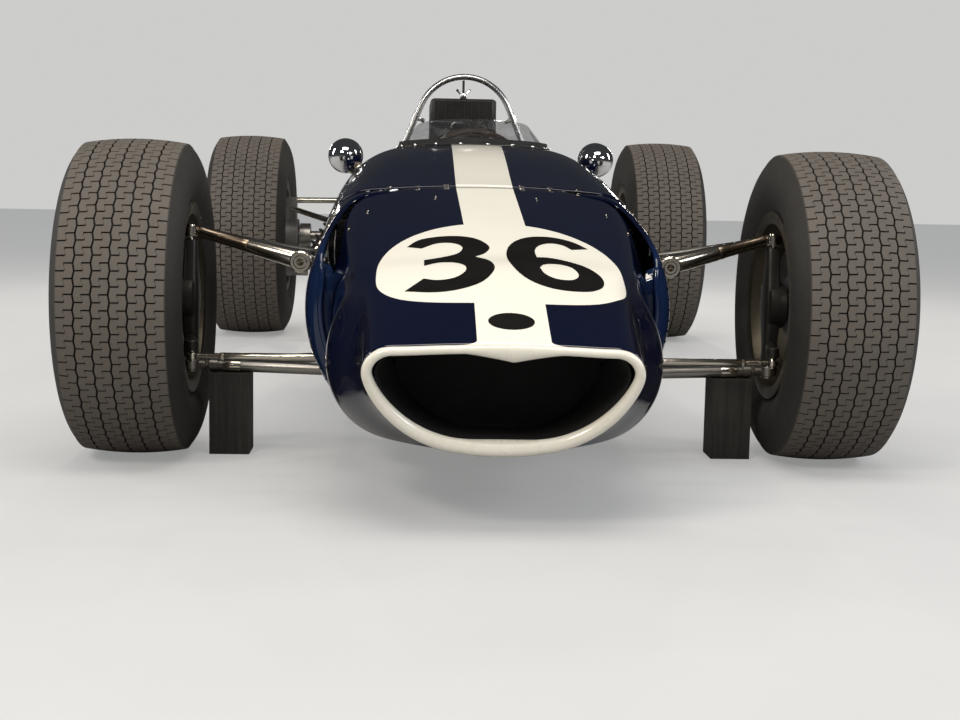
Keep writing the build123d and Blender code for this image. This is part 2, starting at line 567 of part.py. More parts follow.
# Tie rods and rack
with BuildPart() as tie_rod_left:
    rod((TIE_IN_X, ARM_Y, TIE_Z), (ARM_X - 8, ARM_Y, TIE_Z), TIE_R)
    upright_pin(ARM_X, ARM_Y, TIE_Z - 7, TIE_Z + 7, 13)
    upright_pin(ARM_X, ARM_Y, TIE_Z - 20, TIE_Z + 20, 6 + SHAFT_FIT, mode=Mode.SUBTRACT)
tie_rod_left.part.label = "tie_rod_left"
with BuildPart() as tie_rod_right:
    add(mirror(tie_rod_left.part, about=Plane.YZ))
tie_rod_right.part.label = "tie_rod_right"

with BuildPart() as steering_rack:
    across(-255, 255, ARM_Y, TIE_Z, 20)
    block(-190, -160, ARM_Y - 20, ARM_Y + 20, 112 + TUB_WALL, TIE_Z)
    block(160, 190, ARM_Y - 20, ARM_Y + 20, 112 + TUB_WALL, TIE_Z)
steering_rack.part.label = "steering_rack"

# Steering wheel and column
column_plane = Plane(Location((0, WHEEL_Y, WHEEL_Z), (90 + COLUMN_TILT, 0, 0)))
with BuildPart() as steering_wheel:
    with BuildSketch(column_plane):
        Circle(30)
    extrude(amount=30)
    with BuildSketch(column_plane):
        Circle(COLUMN_R)
    extrude(amount=840)
    with Locations(column_plane.location):
        Torus(140, 11)
    with BuildSketch(column_plane):
        with PolarLocations(70, 3, start_angle=-90):
            Rectangle(140, 26)
    extrude(amount=4)
steering_wheel.part.label = "steering_wheel"

with BuildPart() as column_hole:
    with BuildSketch(column_plane):
        Circle(COLUMN_R + SHAFT_FIT)
    extrude(amount=400)

# Mirrors on stalks at the cockpit sides
MIRROR = (352.0, -190.0, 670.0)
with BuildPart() as mirror_left:
    with BuildSketch(Plane(origin=MIRROR, x_dir=(0, 1, 0), z_dir=(1, 0, 0))):
        with BuildLine():
            Polyline((-62, 4), (-62, 0), (34, 0), (34, 46), (0, 46))
            ThreePointArc((0, 46), (-44, 30), (-62, 4))
        make_face()
    revolve(axis=Axis(MIRROR, (0, 1, 0)))
    rod((322, MIRROR[1], RIM_Z), (345, MIRROR[1], MIRROR[2] - 30), 7)
    add(tub_outer.part, mode=Mode.SUBTRACT)
mirror_left.part.label = "mirror_left"
with BuildPart() as mirror_right:
    add(mirror(mirror_left.part, about=Plane.YZ))
mirror_right.part.label = "mirror_right"

# Wheel rows: name, centre x, y, radius, section half width, tread half width, rim half width, shaft radius
WHEELS = [
    ("front", FRONT_TRACK / 2, FRONT_AXLE, FRONT_TYRE_R, 132.5, 107.0, 112.0, SPINDLE_R),
    ("rear", REAR_TRACK / 2, REAR_AXLE, REAR_TYRE_R, 145.0, 118.0, 124.0, HUB_R),
]
RIM_R = 190.5
FLANGE_R = RIM_R + 21.5
tyres = []
rims = []
for name, x, y, radius, half, tread, rim, shaft in WHEELS:
    plane = Plane(origin=(x, y, radius), x_dir=(1, 0, 0), z_dir=(0, -1, 0))
    with BuildPart() as tyre:
        with BuildSketch(plane):
            with BuildLine():
                Polyline((-rim + 12, RIM_R + SEAT_GAP), (-rim, RIM_R + SEAT_GAP), (-rim, FLANGE_R + 1))
                ThreePointArc((-rim, FLANGE_R + 1), (-half, RIM_R + 74), (-tread, radius - 9))
                ThreePointArc((-tread, radius - 9), (0, radius), (tread, radius - 9))
                ThreePointArc((tread, radius - 9), (half, RIM_R + 74), (rim, FLANGE_R + 1))
                Polyline((rim, FLANGE_R + 1), (rim, RIM_R + SEAT_GAP), (rim - 12, RIM_R + SEAT_GAP))
                Line((rim - 12, RIM_R + SEAT_GAP), (half - 16, RIM_R + 70))
                Line((half - 16, RIM_R + 70), (tread - 14, radius - 24))
                Line((tread - 14, radius - 24), (-tread + 14, radius - 24))
                Line((-tread + 14, radius - 24), (-half + 16, RIM_R + 70))
                Line((-half + 16, RIM_R + 70), (-rim + 12, RIM_R + SEAT_GAP))
            make_face()
        revolve(axis=Axis((x, y, radius), (1, 0, 0)))
    tyres.append(tyre)
    with BuildPart() as wheel:
        with BuildSketch(plane):
            with BuildLine():
                Polyline((-rim - 8, FLANGE_R), (-rim - 2, FLANGE_R), (-rim - 1, RIM_R),
                         (-rim + 30, RIM_R - 1), (-rim + 44, RIM_R - 10.5), (rim - 60, RIM_R - 10.5),
                         (rim - 40, RIM_R - 1), (rim + 1, RIM_R), (rim + 2, FLANGE_R), (rim + 8, FLANGE_R),
                         (rim + 7, RIM_R - 4.5), (rim - 36, RIM_R - 7.5),
                         (rim - 56, RIM_R - 16.5), (-rim + 48, RIM_R - 16.5), (-rim + 34, RIM_R - 6.5),
                         (-rim - 7, RIM_R - 4.5),
                         close=True)
            make_face()
        revolve(axis=Axis((x, y, radius), (1, 0, 0)))
        across(x + 20, x + 34, y, radius, RIM_R - 14.5)
        with Locations(Location((x + 27, y, radius), (0, 90, 0))):
            with PolarLocations(112, 6):
                Cylinder(34, 60, mode=Mode.SUBTRACT)
        across(x - 60, x + 62, y, radius, 44)
        across(x - DISC_IN, x - DISC_OUT, y, radius, DISC_R)
        across(x - 100, x + 40, y, radius, shaft + SHAFT_FIT, mode=Mode.SUBTRACT)
    rims.append(wheel)

front_tyre_left, rear_tyre_left = tyres
front_wheel_left, rear_wheel_left = rims
front_tyre_left.part.label = "front_tyre_left"
rear_tyre_left.part.label = "rear_tyre_left"
front_wheel_left.part.label = "front_wheel_left"
rear_wheel_left.part.label = "rear_wheel_left"
with BuildPart() as front_tyre_right:
    add(mirror(front_tyre_left.part, about=Plane.YZ))
front_tyre_right.part.label = "front_tyre_right"
with BuildPart() as rear_tyre_right:
    add(mirror(rear_tyre_left.part, about=Plane.YZ))
rear_tyre_right.part.label = "rear_tyre_right"
with BuildPart() as front_wheel_right:
    add(mirror(front_wheel_left.part, about=Plane.YZ))
front_wheel_right.part.label = "front_wheel_right"
with BuildPart() as rear_wheel_right:
    add(mirror(rear_wheel_left.part, about=Plane.YZ))
rear_wheel_right.part.label = "rear_wheel_right"

# Drive shafts from the final drive to the hubs
with BuildPart() as driveshaft_left:
    across(100, 136, REAR_AXLE, REAR_TYRE_R, 20)
    across(136, 176, REAR_AXLE, REAR_TYRE_R, 44)
    across(176, UPRIGHT_IN - 40, REAR_AXLE, REAR_TYRE_R, 17)
    across(UPRIGHT_IN - 45, UPRIGHT_IN - SWING_GAP, REAR_AXLE, REAR_TYRE_R, 46)
    across(UPRIGHT_IN - SWING_GAP, REAR_TRACK / 2 + 40, REAR_AXLE, REAR_TYRE_R, HUB_R)
driveshaft_left.part.label = "driveshaft_left"
with BuildPart() as driveshaft_right:
    add(mirror(driveshaft_left.part, about=Plane.YZ))
driveshaft_right.part.label = "driveshaft_right"

with BuildPart() as dash_bored:
    add(dashboard.part)
    add(column_hole.part, mode=Mode.SUBTRACT)
dash_bored.part.label = "dashboard"

ALL = [
    monocoque_tub, nose_cone, nose_lip, scuttle_panel, windscreen, radiator, radiator_rails,
    roll_hoop, seat, dash_bored, engine_block, cam_cover_left, cam_cover_right, intake_trumpets,
    intake_cover,
    gearbox, exhaust_left, exhaust_right, rear_upright_left, rear_upright_right,
    rear_links_left, rear_links_right, rear_crossmember, rear_coilover_left, rear_coilover_right,
    upper_rocker_left, upper_rocker_right, lower_wishbone_left, lower_wishbone_right,
    stand_blocks, steering_rack, mirror_left, mirror_right, front_upright_left,
    front_upright_right, tie_rod_left, tie_rod_right, steering_wheel, front_tyre_left,
    front_tyre_right, rear_tyre_left, rear_tyre_right, front_wheel_left, front_wheel_right,
    rear_wheel_left, rear_wheel_right, driveshaft_left, driveshaft_right,
]
for piece in ALL:
    export_step(piece.part, "parts/" + piece.part.label + ".step")
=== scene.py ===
import bpy
import bmesh
import math
import numpy as np
from mathutils import Matrix, Vector


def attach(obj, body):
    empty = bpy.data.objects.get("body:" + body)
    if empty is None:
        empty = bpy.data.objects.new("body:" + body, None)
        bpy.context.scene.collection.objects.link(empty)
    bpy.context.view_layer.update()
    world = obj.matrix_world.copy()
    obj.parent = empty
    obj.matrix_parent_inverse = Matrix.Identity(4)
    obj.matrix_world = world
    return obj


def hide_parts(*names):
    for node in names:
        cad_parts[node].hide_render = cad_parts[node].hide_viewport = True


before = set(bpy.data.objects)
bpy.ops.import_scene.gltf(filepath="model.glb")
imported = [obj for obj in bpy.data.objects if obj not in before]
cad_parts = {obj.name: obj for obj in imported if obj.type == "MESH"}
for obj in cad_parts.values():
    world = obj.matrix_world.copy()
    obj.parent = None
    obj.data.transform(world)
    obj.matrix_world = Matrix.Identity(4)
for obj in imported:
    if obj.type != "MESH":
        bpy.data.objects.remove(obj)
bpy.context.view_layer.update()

# Sizes are in millimetres and are turned to metres where a mesh is made
MM = 0.001
FRONT_AXLE = -1080.0
REAR_AXLE = 1371.0
FRONT_TYRE_R = 346.0
REAR_TYRE_R = 375.0
BEAD_SEAT_R = 190.5
# Points closer than this become one
WELD = 0.01
SIDES = (("left", 1), ("right", -1))

# The photograph's camera, solved from the wheels: metres, degrees, and millimetres for lens and sensor
CAMERA_PLACE = (-0.156, -4.414, 0.639)
CAMERA_YAW = 2.59
CAMERA_PITCH = 7.27
CAMERA_ROLL = 1.06
CAMERA_LENS = 56.04
CAMERA_SENSOR = 36.0


def place_camera():
    """Stands the camera where the photograph was taken from."""
    yaw, pitch, roll = [math.radians(turn) for turn in (CAMERA_YAW, CAMERA_PITCH, CAMERA_ROLL)]
    ahead = Vector((math.sin(yaw) * math.cos(pitch), math.cos(yaw) * math.cos(pitch), -math.sin(pitch)))
    right = Vector((math.cos(yaw), -math.sin(yaw), 0))
    up = right.cross(ahead)
    across = right * math.cos(roll) + up * math.sin(roll)
    upward = up * math.cos(roll) - right * math.sin(roll)
    lens = bpy.data.cameras.new("camera")
    lens.lens = CAMERA_LENS
    lens.sensor_width = CAMERA_SENSOR
    camera = bpy.data.objects.new("camera", lens)
    bpy.context.scene.collection.objects.link(camera)
    turn = Matrix((across, upward, -ahead)).transposed().to_4x4()
    camera.matrix_world = Matrix.Translation(CAMERA_PLACE) @ turn
    bpy.context.scene.camera = camera


# Node trees and finishes
class Field:
    """A value in a node tree, so that sums of values read as plain expressions."""

    def __init__(self, nodes, socket):
        self.nodes = nodes
        self.socket = socket

    def maths(self, operation, *values):
        return self.nodes.make("ShaderNodeMath", {"operation": operation}, dict(enumerate(values)))

    def __add__(self, other):
        return self.maths("ADD", self, other)

    def __sub__(self, other):
        return self.maths("SUBTRACT", self, other)

    def __rsub__(self, other):
        return self.maths("SUBTRACT", other, self)

    def __mul__(self, other):
        return self.maths("MULTIPLY", self, other)

    def __truediv__(self, other):
        return self.maths("DIVIDE", self, other)

    def __pow__(self, other):
        return self.maths("POWER", self, other)

    def __abs__(self):
        return self.maths("ABSOLUTE", self)

    __radd__ = __add__
    __rmul__ = __mul__

    def root(self):
        return self.maths("SQRT", self)

    def wave(self):
        return self.maths("SINE", self)

    def part(self):
        return self.maths("FRACT", self)

    def most(self, other):
        return self.maths("MAXIMUM", self, other)

    def held(self):
        """The value kept between 0 and 1."""
        return self.maths("MINIMUM", self.maths("MAXIMUM", self, 0.0), 1.0)

    def below(self, edge, soft=0.0004):
        """1 where the value is under the edge, 0 above it, with a soft step between."""
        return ((edge - self) / soft + 0.5).held()

    def above(self, edge, soft=0.0004):
        """1 where the value is over the edge, 0 under it, with a soft step between."""
        return ((self - edge) / soft + 0.5).held()


class Nodes:
    """A node tree, with one method that adds any node to it."""

    def __init__(self, tree):
        self.tree = tree

    def make(self, kind, settings, values, output=0):
        """Adds a node: its settings come first, then the values of its sockets or the links into them."""
        node = self.tree.nodes.new(kind)
        for key, value in settings.items():
            if key == "stops":
                ramp = node.color_ramp
                while len(ramp.elements) < len(value):
                    ramp.elements.new(0.5)
                for element, (spot, colour) in zip(ramp.elements, value):
                    element.position = spot
                    element.color = (*colour, 1)
            else:
                setattr(node, key, value)
        for key, value in values.items():
            self.feed(node.inputs[key], value)
        return Field(self, node.outputs[output] if len(node.outputs) else None)

    def feed(self, socket, value):
        """Gives a socket its value, or links one or several fields to it."""
        if isinstance(value, (Field, list)):
            for field in value if isinstance(value, list) else [value]:
                self.tree.links.new(field.socket, socket)
        else:
            socket.default_value = value


class Finish(Nodes):
    """One material, made of nodes."""

    def __init__(self, name):
        self.material = bpy.data.materials.new(name)
        self.material.use_nodes = True
        super().__init__(self.material.node_tree)
        self.shader = self.tree.nodes["Principled BSDF"]
        self.place = self.make("ShaderNodeTexCoord", {}, {}, "Object")

    def axes(self, vector=None):
        node = self.make("ShaderNodeSeparateXYZ", {}, {0: vector or self.place}).socket.node
        return [Field(self, out) for out in node.outputs]

    def attribute(self, name):
        return self.make("ShaderNodeAttribute", {"attribute_name": name}, {}, "Fac")

    def stretched(self, x, y, z):
        return self.make("ShaderNodeMapping", {}, {"Vector": self.place, "Scale": (x, y, z)})

    def noise(self, scale, detail=3.0, rough=0.5, vector=None):
        return self.make("ShaderNodeTexNoise", {}, {"Vector": vector or self.place, "Scale": scale,
                                                    "Detail": detail, "Roughness": rough}, "Fac")

    def cells(self, scale, feature="F1"):
        values = {"Vector": self.place, "Scale": scale}
        return self.make("ShaderNodeTexVoronoi", {"feature": feature}, values, "Distance")

    def ramp(self, value, *stops):
        return self.make("ShaderNodeValToRGB", {"stops": stops}, {"Fac": value}, "Color")

    def blend(self, mask, first, second):
        """The first colour where the mask is 0, the second where it is 1."""
        first, second = [c if isinstance(c, Field) else (*c, 1) for c in (first, second)]
        return self.make("ShaderNodeMix", {"data_type": "RGBA"}, {0: mask, 6: first, 7: second}, 2)

    def bump(self, height, distance, strength=1.0):
        values = {"Height": height, "Distance": distance, "Strength": strength}
        return self.make("ShaderNodeBump", {}, values, "Normal")

    def surface(self, **values):
        """Sets the shader's sockets, named with underscores for their spaces, and hands back the material."""
        for name, value in values.items():
            colour = name == "Base_Color" and not isinstance(value, Field)
            self.feed(self.shader.inputs[name.replace("_", " ")], (*value, 1) if colour else value)
        return self.material


NAVY = (0.0020, 0.0040, 0.0200)
NAVY_DEEP = (0.0013, 0.0024, 0.0110)
# Lighter blue of the tub's front edge: partly the ears' own paint, partly a painted highlight where the lamps
# catch them
NAVY_LIT = (0.006, 0.015, 0.050)
CREAM = (0.87, 0.835, 0.73)
CREAM_DULL = (0.82, 0.78, 0.66)
CREAM_SEAM = (0.45, 0.41, 0.33)

# The cream marks on the nose, in metres: the stripe, its flare into the lip, and the round number panel
STRIPE_HALF = 0.0640
STRIPE_OFF_MIDDLE = 0.017
SEAM_Y = -1.03
FLARE_Y = -1.880
FLARE_LONG = 0.0165
FLARE_WIDE = 0.030
PANEL_X = 0.008
PANEL_Y = -1.590
PANEL_HALF_WIDE = 0.2355
PANEL_REAR = 0.289
PANEL_FRONT = 0.148
PANEL_LOW_Z = 0.34
STRIPE_LOW_Z = 0.27


def painted(name, masks=True):
    """Dark blue gloss; with masks, also the cream stripe that flares into the lip, and the number panel."""
    paint = Finish(name)
    x, y, z = paint.axes()
    tone = paint.blend(paint.noise(5.0, 4.0), NAVY_DEEP, NAVY)
    if masks:
        ahead = ((FLARE_Y - y) / FLARE_LONG).held()
        half = STRIPE_HALF + FLARE_WIDE * (1 - (1.0001 - ahead * ahead).root())
        shift = STRIPE_OFF_MIDDLE * ((SEAM_Y - y) / 0.50).held()
        stripe = abs(x - shift).below(half) * z.above(STRIPE_LOW_Z, 0.002)
        wide = abs(x - PANEL_X) / PANEL_HALF_WIDE
        rear = ((y - PANEL_Y) / PANEL_REAR).most(0.0)
        front = ((PANEL_Y - y) / PANEL_FRONT).most(0.0)
        rear_sum = wide ** 2.2 + rear ** 2.2
        front_sum = wide ** 3.1 + front ** 3.1
        high = z.above(PANEL_LOW_Z, 0.002)
        panel = rear_sum.below(1.0, 0.004) * front_sum.below(1.0, 0.006) * high
        seam = abs(front_sum - 1.0).below(0.012, 0.008) * (PANEL_Y - 0.010 - y).above(0.0, 0.001)
        cream = paint.blend(paint.noise(14.0, 5.0), CREAM, CREAM_DULL)
        colour = paint.blend(stripe.most(panel), tone, cream)
        colour = paint.blend(seam * stripe * high * 0.35, colour, CREAM_SEAM)
    else:
        # Without masks, the tub's front edge turns lighter blue: partly its own paint, partly a painted
        # highlight
        colour = paint.blend(((-1.24 - y) / 0.09).held(), tone, NAVY_LIT)
    dust = paint.noise(90.0, 6.0, 0.7)
    scratches = paint.noise(60.0, 2.0, 0.5, paint.stretched(6, 0.7, 6))
    rough = 0.16 + 0.05 * dust + 0.04 * scratches.above(0.62, 0.1)
    peel = paint.bump(paint.noise(420.0, 1.0), 0.00004, 0.35)
    return paint.surface(Base_Color=colour, Roughness=rough, Normal=peel, Specular_IOR_Level=0.06,
                         Coat_Weight=1.0, Coat_Roughness=0.03, Coat_IOR=1.48)


def cream_gloss():
    paint = Finish("cream_gloss")
    tone = paint.blend(paint.noise(11.0, 5.0), CREAM, (0.74, 0.69, 0.56))
    chips = paint.cells(160.0).below(0.09, 0.05) * paint.noise(9.0).above(0.6, 0.1)
    tone = paint.blend(chips * 0.6, tone, (0.30, 0.25, 0.19))
    return paint.surface(Base_Color=tone, Roughness=0.22 + 0.12 * paint.noise(50.0, 4.0), Coat_Weight=0.8,
                         Coat_Roughness=0.05, Normal=paint.bump(paint.noise(380.0, 1.0), 0.00005, 0.3))


def bright_metal(name, colour, rough, wear):
    metal = Finish(name)
    grain = metal.noise(60.0, 5.0, 0.6)
    stain = metal.noise(9.0, 4.0, 0.6)
    tone = metal.blend(stain * wear, colour, tuple(c * 0.45 for c in colour))
    worn = rough + 0.12 * wear * grain + 0.2 * wear * stain
    return metal.surface(Base_Color=tone, Metallic=1.0, Roughness=worn,
                         Normal=metal.bump(grain, 0.0001, 0.25 * wear))


def cast_metal(name, colour, rough=0.5, metallic=0.85):
    metal = Finish(name)
    pits = metal.noise(700.0, 3.0, 0.6)
    flow = metal.noise(26.0, 5.0, 0.6)
    tone = metal.blend(flow, colour, tuple(c * 0.6 for c in colour))
    dirt = metal.noise(7.0, 6.0, 0.7).above(0.55, 0.2)
    tone = metal.blend(dirt * 0.45, tone, (0.035, 0.03, 0.024))
    height = 0.6 * pits + 0.8 * metal.noise(120.0, 4.0)
    return metal.surface(Base_Color=tone, Metallic=metallic, Roughness=rough + 0.15 * flow,
                         Normal=metal.bump(height, 0.0006, 0.5))


def dark_coat(name, colour, rough=0.45, texture=300.0, depth=0.0003, sheen=0.5):
    coat = Finish(name)
    fine = coat.noise(texture, 4.0, 0.6)
    tone = coat.blend(coat.noise(12.0, 5.0), colour, tuple(c * 2.2 + 0.006 for c in colour))
    return coat.surface(Base_Color=tone, Roughness=rough + 0.16 * coat.noise(34.0, 4.0),
                        Specular_IOR_Level=sheen, Normal=coat.bump(fine, depth, 0.5))


def tyre_rubber():
    """Brown grey rubber: dusty rib tops and a darker side; the fine hooked cuts, the cuts and the grooves are
    painted near-black as painted shade.
    """
    rubber = Finish("tyre_rubber")
    rib, pitch = rubber.axes(rubber.make("ShaderNodeUVMap", {"uv_map": "tread"}, {}, "UV"))[:2]
    ground = rubber.attribute("tread_top")
    cut = rubber.attribute("cut")
    across = rib.part()
    along = pitch.part()
    hook_one = abs(across - 0.52).below(0.022, 0.012) * abs(along - 0.085).below(0.075, 0.02)
    hook_two = abs(across - 0.48).below(0.022, 0.012) * abs(along - 0.415).below(0.075, 0.02)
    bend = 0.018 * (along * 12.56).wave()
    link = abs(across - 0.5 - bend).below(0.010, 0.010) * abs(along - 0.25).below(0.17, 0.03)
    hooks = hook_one.most(hook_two).most(link * 0.45) * ground
    grain = rubber.noise(260.0, 5.0, 0.7)
    cloud = rubber.noise(7.0, 5.0, 0.6)
    top = rubber.blend(grain * 0.5 + cloud * 0.5, (0.070, 0.059, 0.048), (0.150, 0.130, 0.108))
    side = rubber.blend(cloud, (0.020, 0.018, 0.016), (0.036, 0.033, 0.029))
    tone = rubber.blend(ground, side, top)
    # Painted shade: cuts, grooves and the fine hooked cuts are painted near-black
    tone = rubber.blend((cut.most(hooks) * 0.93).held(), tone, (0.012, 0.009, 0.007))
    marks = rubber.noise(40.0, 3.0, 0.6, rubber.stretched(8, 1, 1)).above(0.60, 0.12)
    height = 0.5 * grain - 2.2 * hooks + 0.25 * marks
    return rubber.surface(Base_Color=tone, Roughness=0.66 + 0.16 * grain - 0.1 * marks,
                          Specular_IOR_Level=0.42, Normal=rubber.bump(height, 0.0012, 0.55))


def clear_sheet():
    """Thin clear sheet, smeared where hands and cloths went over it."""
    sheet = Finish("clear_sheet")
    smear = sheet.noise(16.0, 5.0, 0.6)
    return sheet.surface(Base_Color=sheet.blend(smear, (0.93, 0.95, 0.95), (0.86, 0.87, 0.85)),
                         Roughness=0.02 + 0.10 * smear.above(0.5, 0.2), Alpha=0.30 + 0.14 * smear,
                         Transmission_Weight=1.0, IOR=1.08, Coat_Weight=1.0, Coat_Roughness=0.02,
                         Coat_IOR=1.5)


def stained_wood():
    wood = Finish("stained_wood")
    grain = wood.noise(34.0, 6.0, 0.65, wood.stretched(3.2, 3.2, 0.12))
    fine = wood.noise(220.0, 3.0, 0.6, wood.stretched(3.0, 3.0, 0.10))
    tone = wood.ramp(grain * 0.7 + fine * 0.3, (0.30, (0.008, 0.007, 0.006)), (0.52, (0.030, 0.026, 0.021)),
                     (0.72, (0.055, 0.047, 0.038)))
    return wood.surface(Base_Color=tone, Roughness=0.42 + 0.25 * grain,
                        Normal=wood.bump(grain * 0.6 + fine * 0.4, 0.0016, 0.6))


def padded_cover():
    cover = Finish("padded_cover")
    hide = cover.cells(520.0, feature="DISTANCE_TO_EDGE").held()
    tone = cover.blend(cover.noise(30.0, 5.0), (0.012, 0.011, 0.011), (0.032, 0.030, 0.028))
    return cover.surface(Base_Color=tone, Roughness=0.46 + 0.2 * cover.noise(60.0, 4.0),
                         Normal=cover.bump(hide, 0.0006, 0.5))


def leather_rim():
    rim = Finish("leather_rim")
    tone = rim.blend(rim.noise(60.0, 5.0), (0.022, 0.013, 0.009), (0.055, 0.032, 0.020))
    return rim.surface(Base_Color=tone, Roughness=0.42 + 0.22 * rim.noise(45.0, 4.0),
                       Normal=rim.bump(rim.cells(420.0, feature="DISTANCE_TO_EDGE"), 0.0006, 0.5))


def gauze():
    """Woven wire gauze, dark, with its holes as fine pits that are painted near-black as painted shade seen
    through them.
    """
    wire = Finish("wire_gauze")
    x, y, z = wire.axes()
    weave = (x * 2100.0).wave() * (y * 2100.0).wave() + (z * 2100.0).wave() * ((x + y) * 2100.0).wave()
    holes = weave.above(0.15, 0.5)
    # Painted shade: the holes are near-black, as the shade seen through the gauze
    tone = wire.blend(holes, (0.075, 0.070, 0.062), (0.004, 0.004, 0.004))
    return wire.surface(Base_Color=tone, Metallic=0.6, Roughness=0.5 + 0.3 * holes,
                        Normal=wire.bump(1 - holes, 0.0012, 0.7))


GAUZE = gauze()
PAINT = painted("body_gloss")
PLAIN_PAINT = painted("body_gloss_plain", masks=False)
CREAM_PAINT = cream_gloss()
NICKEL = bright_metal("nickel_plate", (0.72, 0.66, 0.56), 0.14, 0.35)
CHROME = bright_metal("chrome_plate", (0.86, 0.86, 0.86), 0.04, 0.10)
STEEL = bright_metal("bare_steel", (0.42, 0.40, 0.37), 0.28, 0.5)
SPUN = bright_metal("spun_alloy", (0.78, 0.78, 0.77), 0.22, 0.3)
CAST = cast_metal("cast_alloy", (0.46, 0.45, 0.43))
MAGNESIUM = cast_metal("magnesium_wheel", (0.16, 0.14, 0.10), 0.36, 0.9)
DARK_CAST = cast_metal("dark_cast", (0.060, 0.056, 0.050), 0.34, 0.7)
BODY_RIVET = bright_metal("painted_rivet", (0.05, 0.06, 0.12), 0.22, 0.2)
SPRING_PAINT = dark_coat("spring_paint", (0.020, 0.020, 0.022), 0.30)
BROWNED = bright_metal("browned_steel", (0.30, 0.235, 0.175), 0.20, 0.5)
BLACK = dark_coat("black_enamel", (0.010, 0.010, 0.010), 0.30)
CRACKLE = dark_coat("black_crackle", (0.012, 0.012, 0.012), 0.55, 900.0, 0.0012)
# Near-black and rough: painted shade, so the duct and the radiator inside the nose's mouth read as lying in
# shadow
DUCT_PAINTED_SHADE = dark_coat("duct_black", (0.0022, 0.0022, 0.0022), 0.85, 300.0, 0.0004)
NUMBER_BLACK = dark_coat("number_black", (0.002, 0.0016, 0.0014), 0.55, 200.0, 0.00005, 0.12)
MATT = dark_coat("matt_black", (0.008, 0.008, 0.008), 0.75, 500.0)
PALE_HEAT = cast_metal("pale_heat_paint", (0.62, 0.59, 0.53), 0.62, 0.05)
RUBBER = tyre_rubber()
SHEET = clear_sheet()
WOOD = stained_wood()
COVER = padded_cover()
LEATHER = leather_rim()


def whole_turn(count):
    """Evenly spread angles, once round."""
    return [2 * math.pi * k / count for k in range(count)]


def square_to(axis):
    """Two directions square to an axis and to each other, and the axis at length 1."""
    axis = Vector(axis).normalized()
    spare = Vector((0, 0, 1)) if abs(axis.z) < 0.9 else Vector((1, 0, 0))
    side = axis.cross(spare).normalized()
    return side, axis.cross(side), axis


def settled(bm, mesh, flip=False):
    """Merges doubles, drops what is left loose, turns the faces outwards and writes the mesh."""
    bmesh.ops.remove_doubles(bm, verts=bm.verts[:], dist=WELD * MM)
    bmesh.ops.dissolve_degenerate(bm, edges=bm.edges[:], dist=1e-7)
    loose = [v for v in bm.verts if not v.link_faces]
    bmesh.ops.delete(bm, geom=loose, context="VERTS")
    bmesh.ops.recalc_face_normals(bm, faces=bm.faces[:])
    if flip:
        bmesh.ops.reverse_faces(bm, faces=bm.faces[:])
    bm.to_mesh(mesh)
    bm.free()
    return mesh


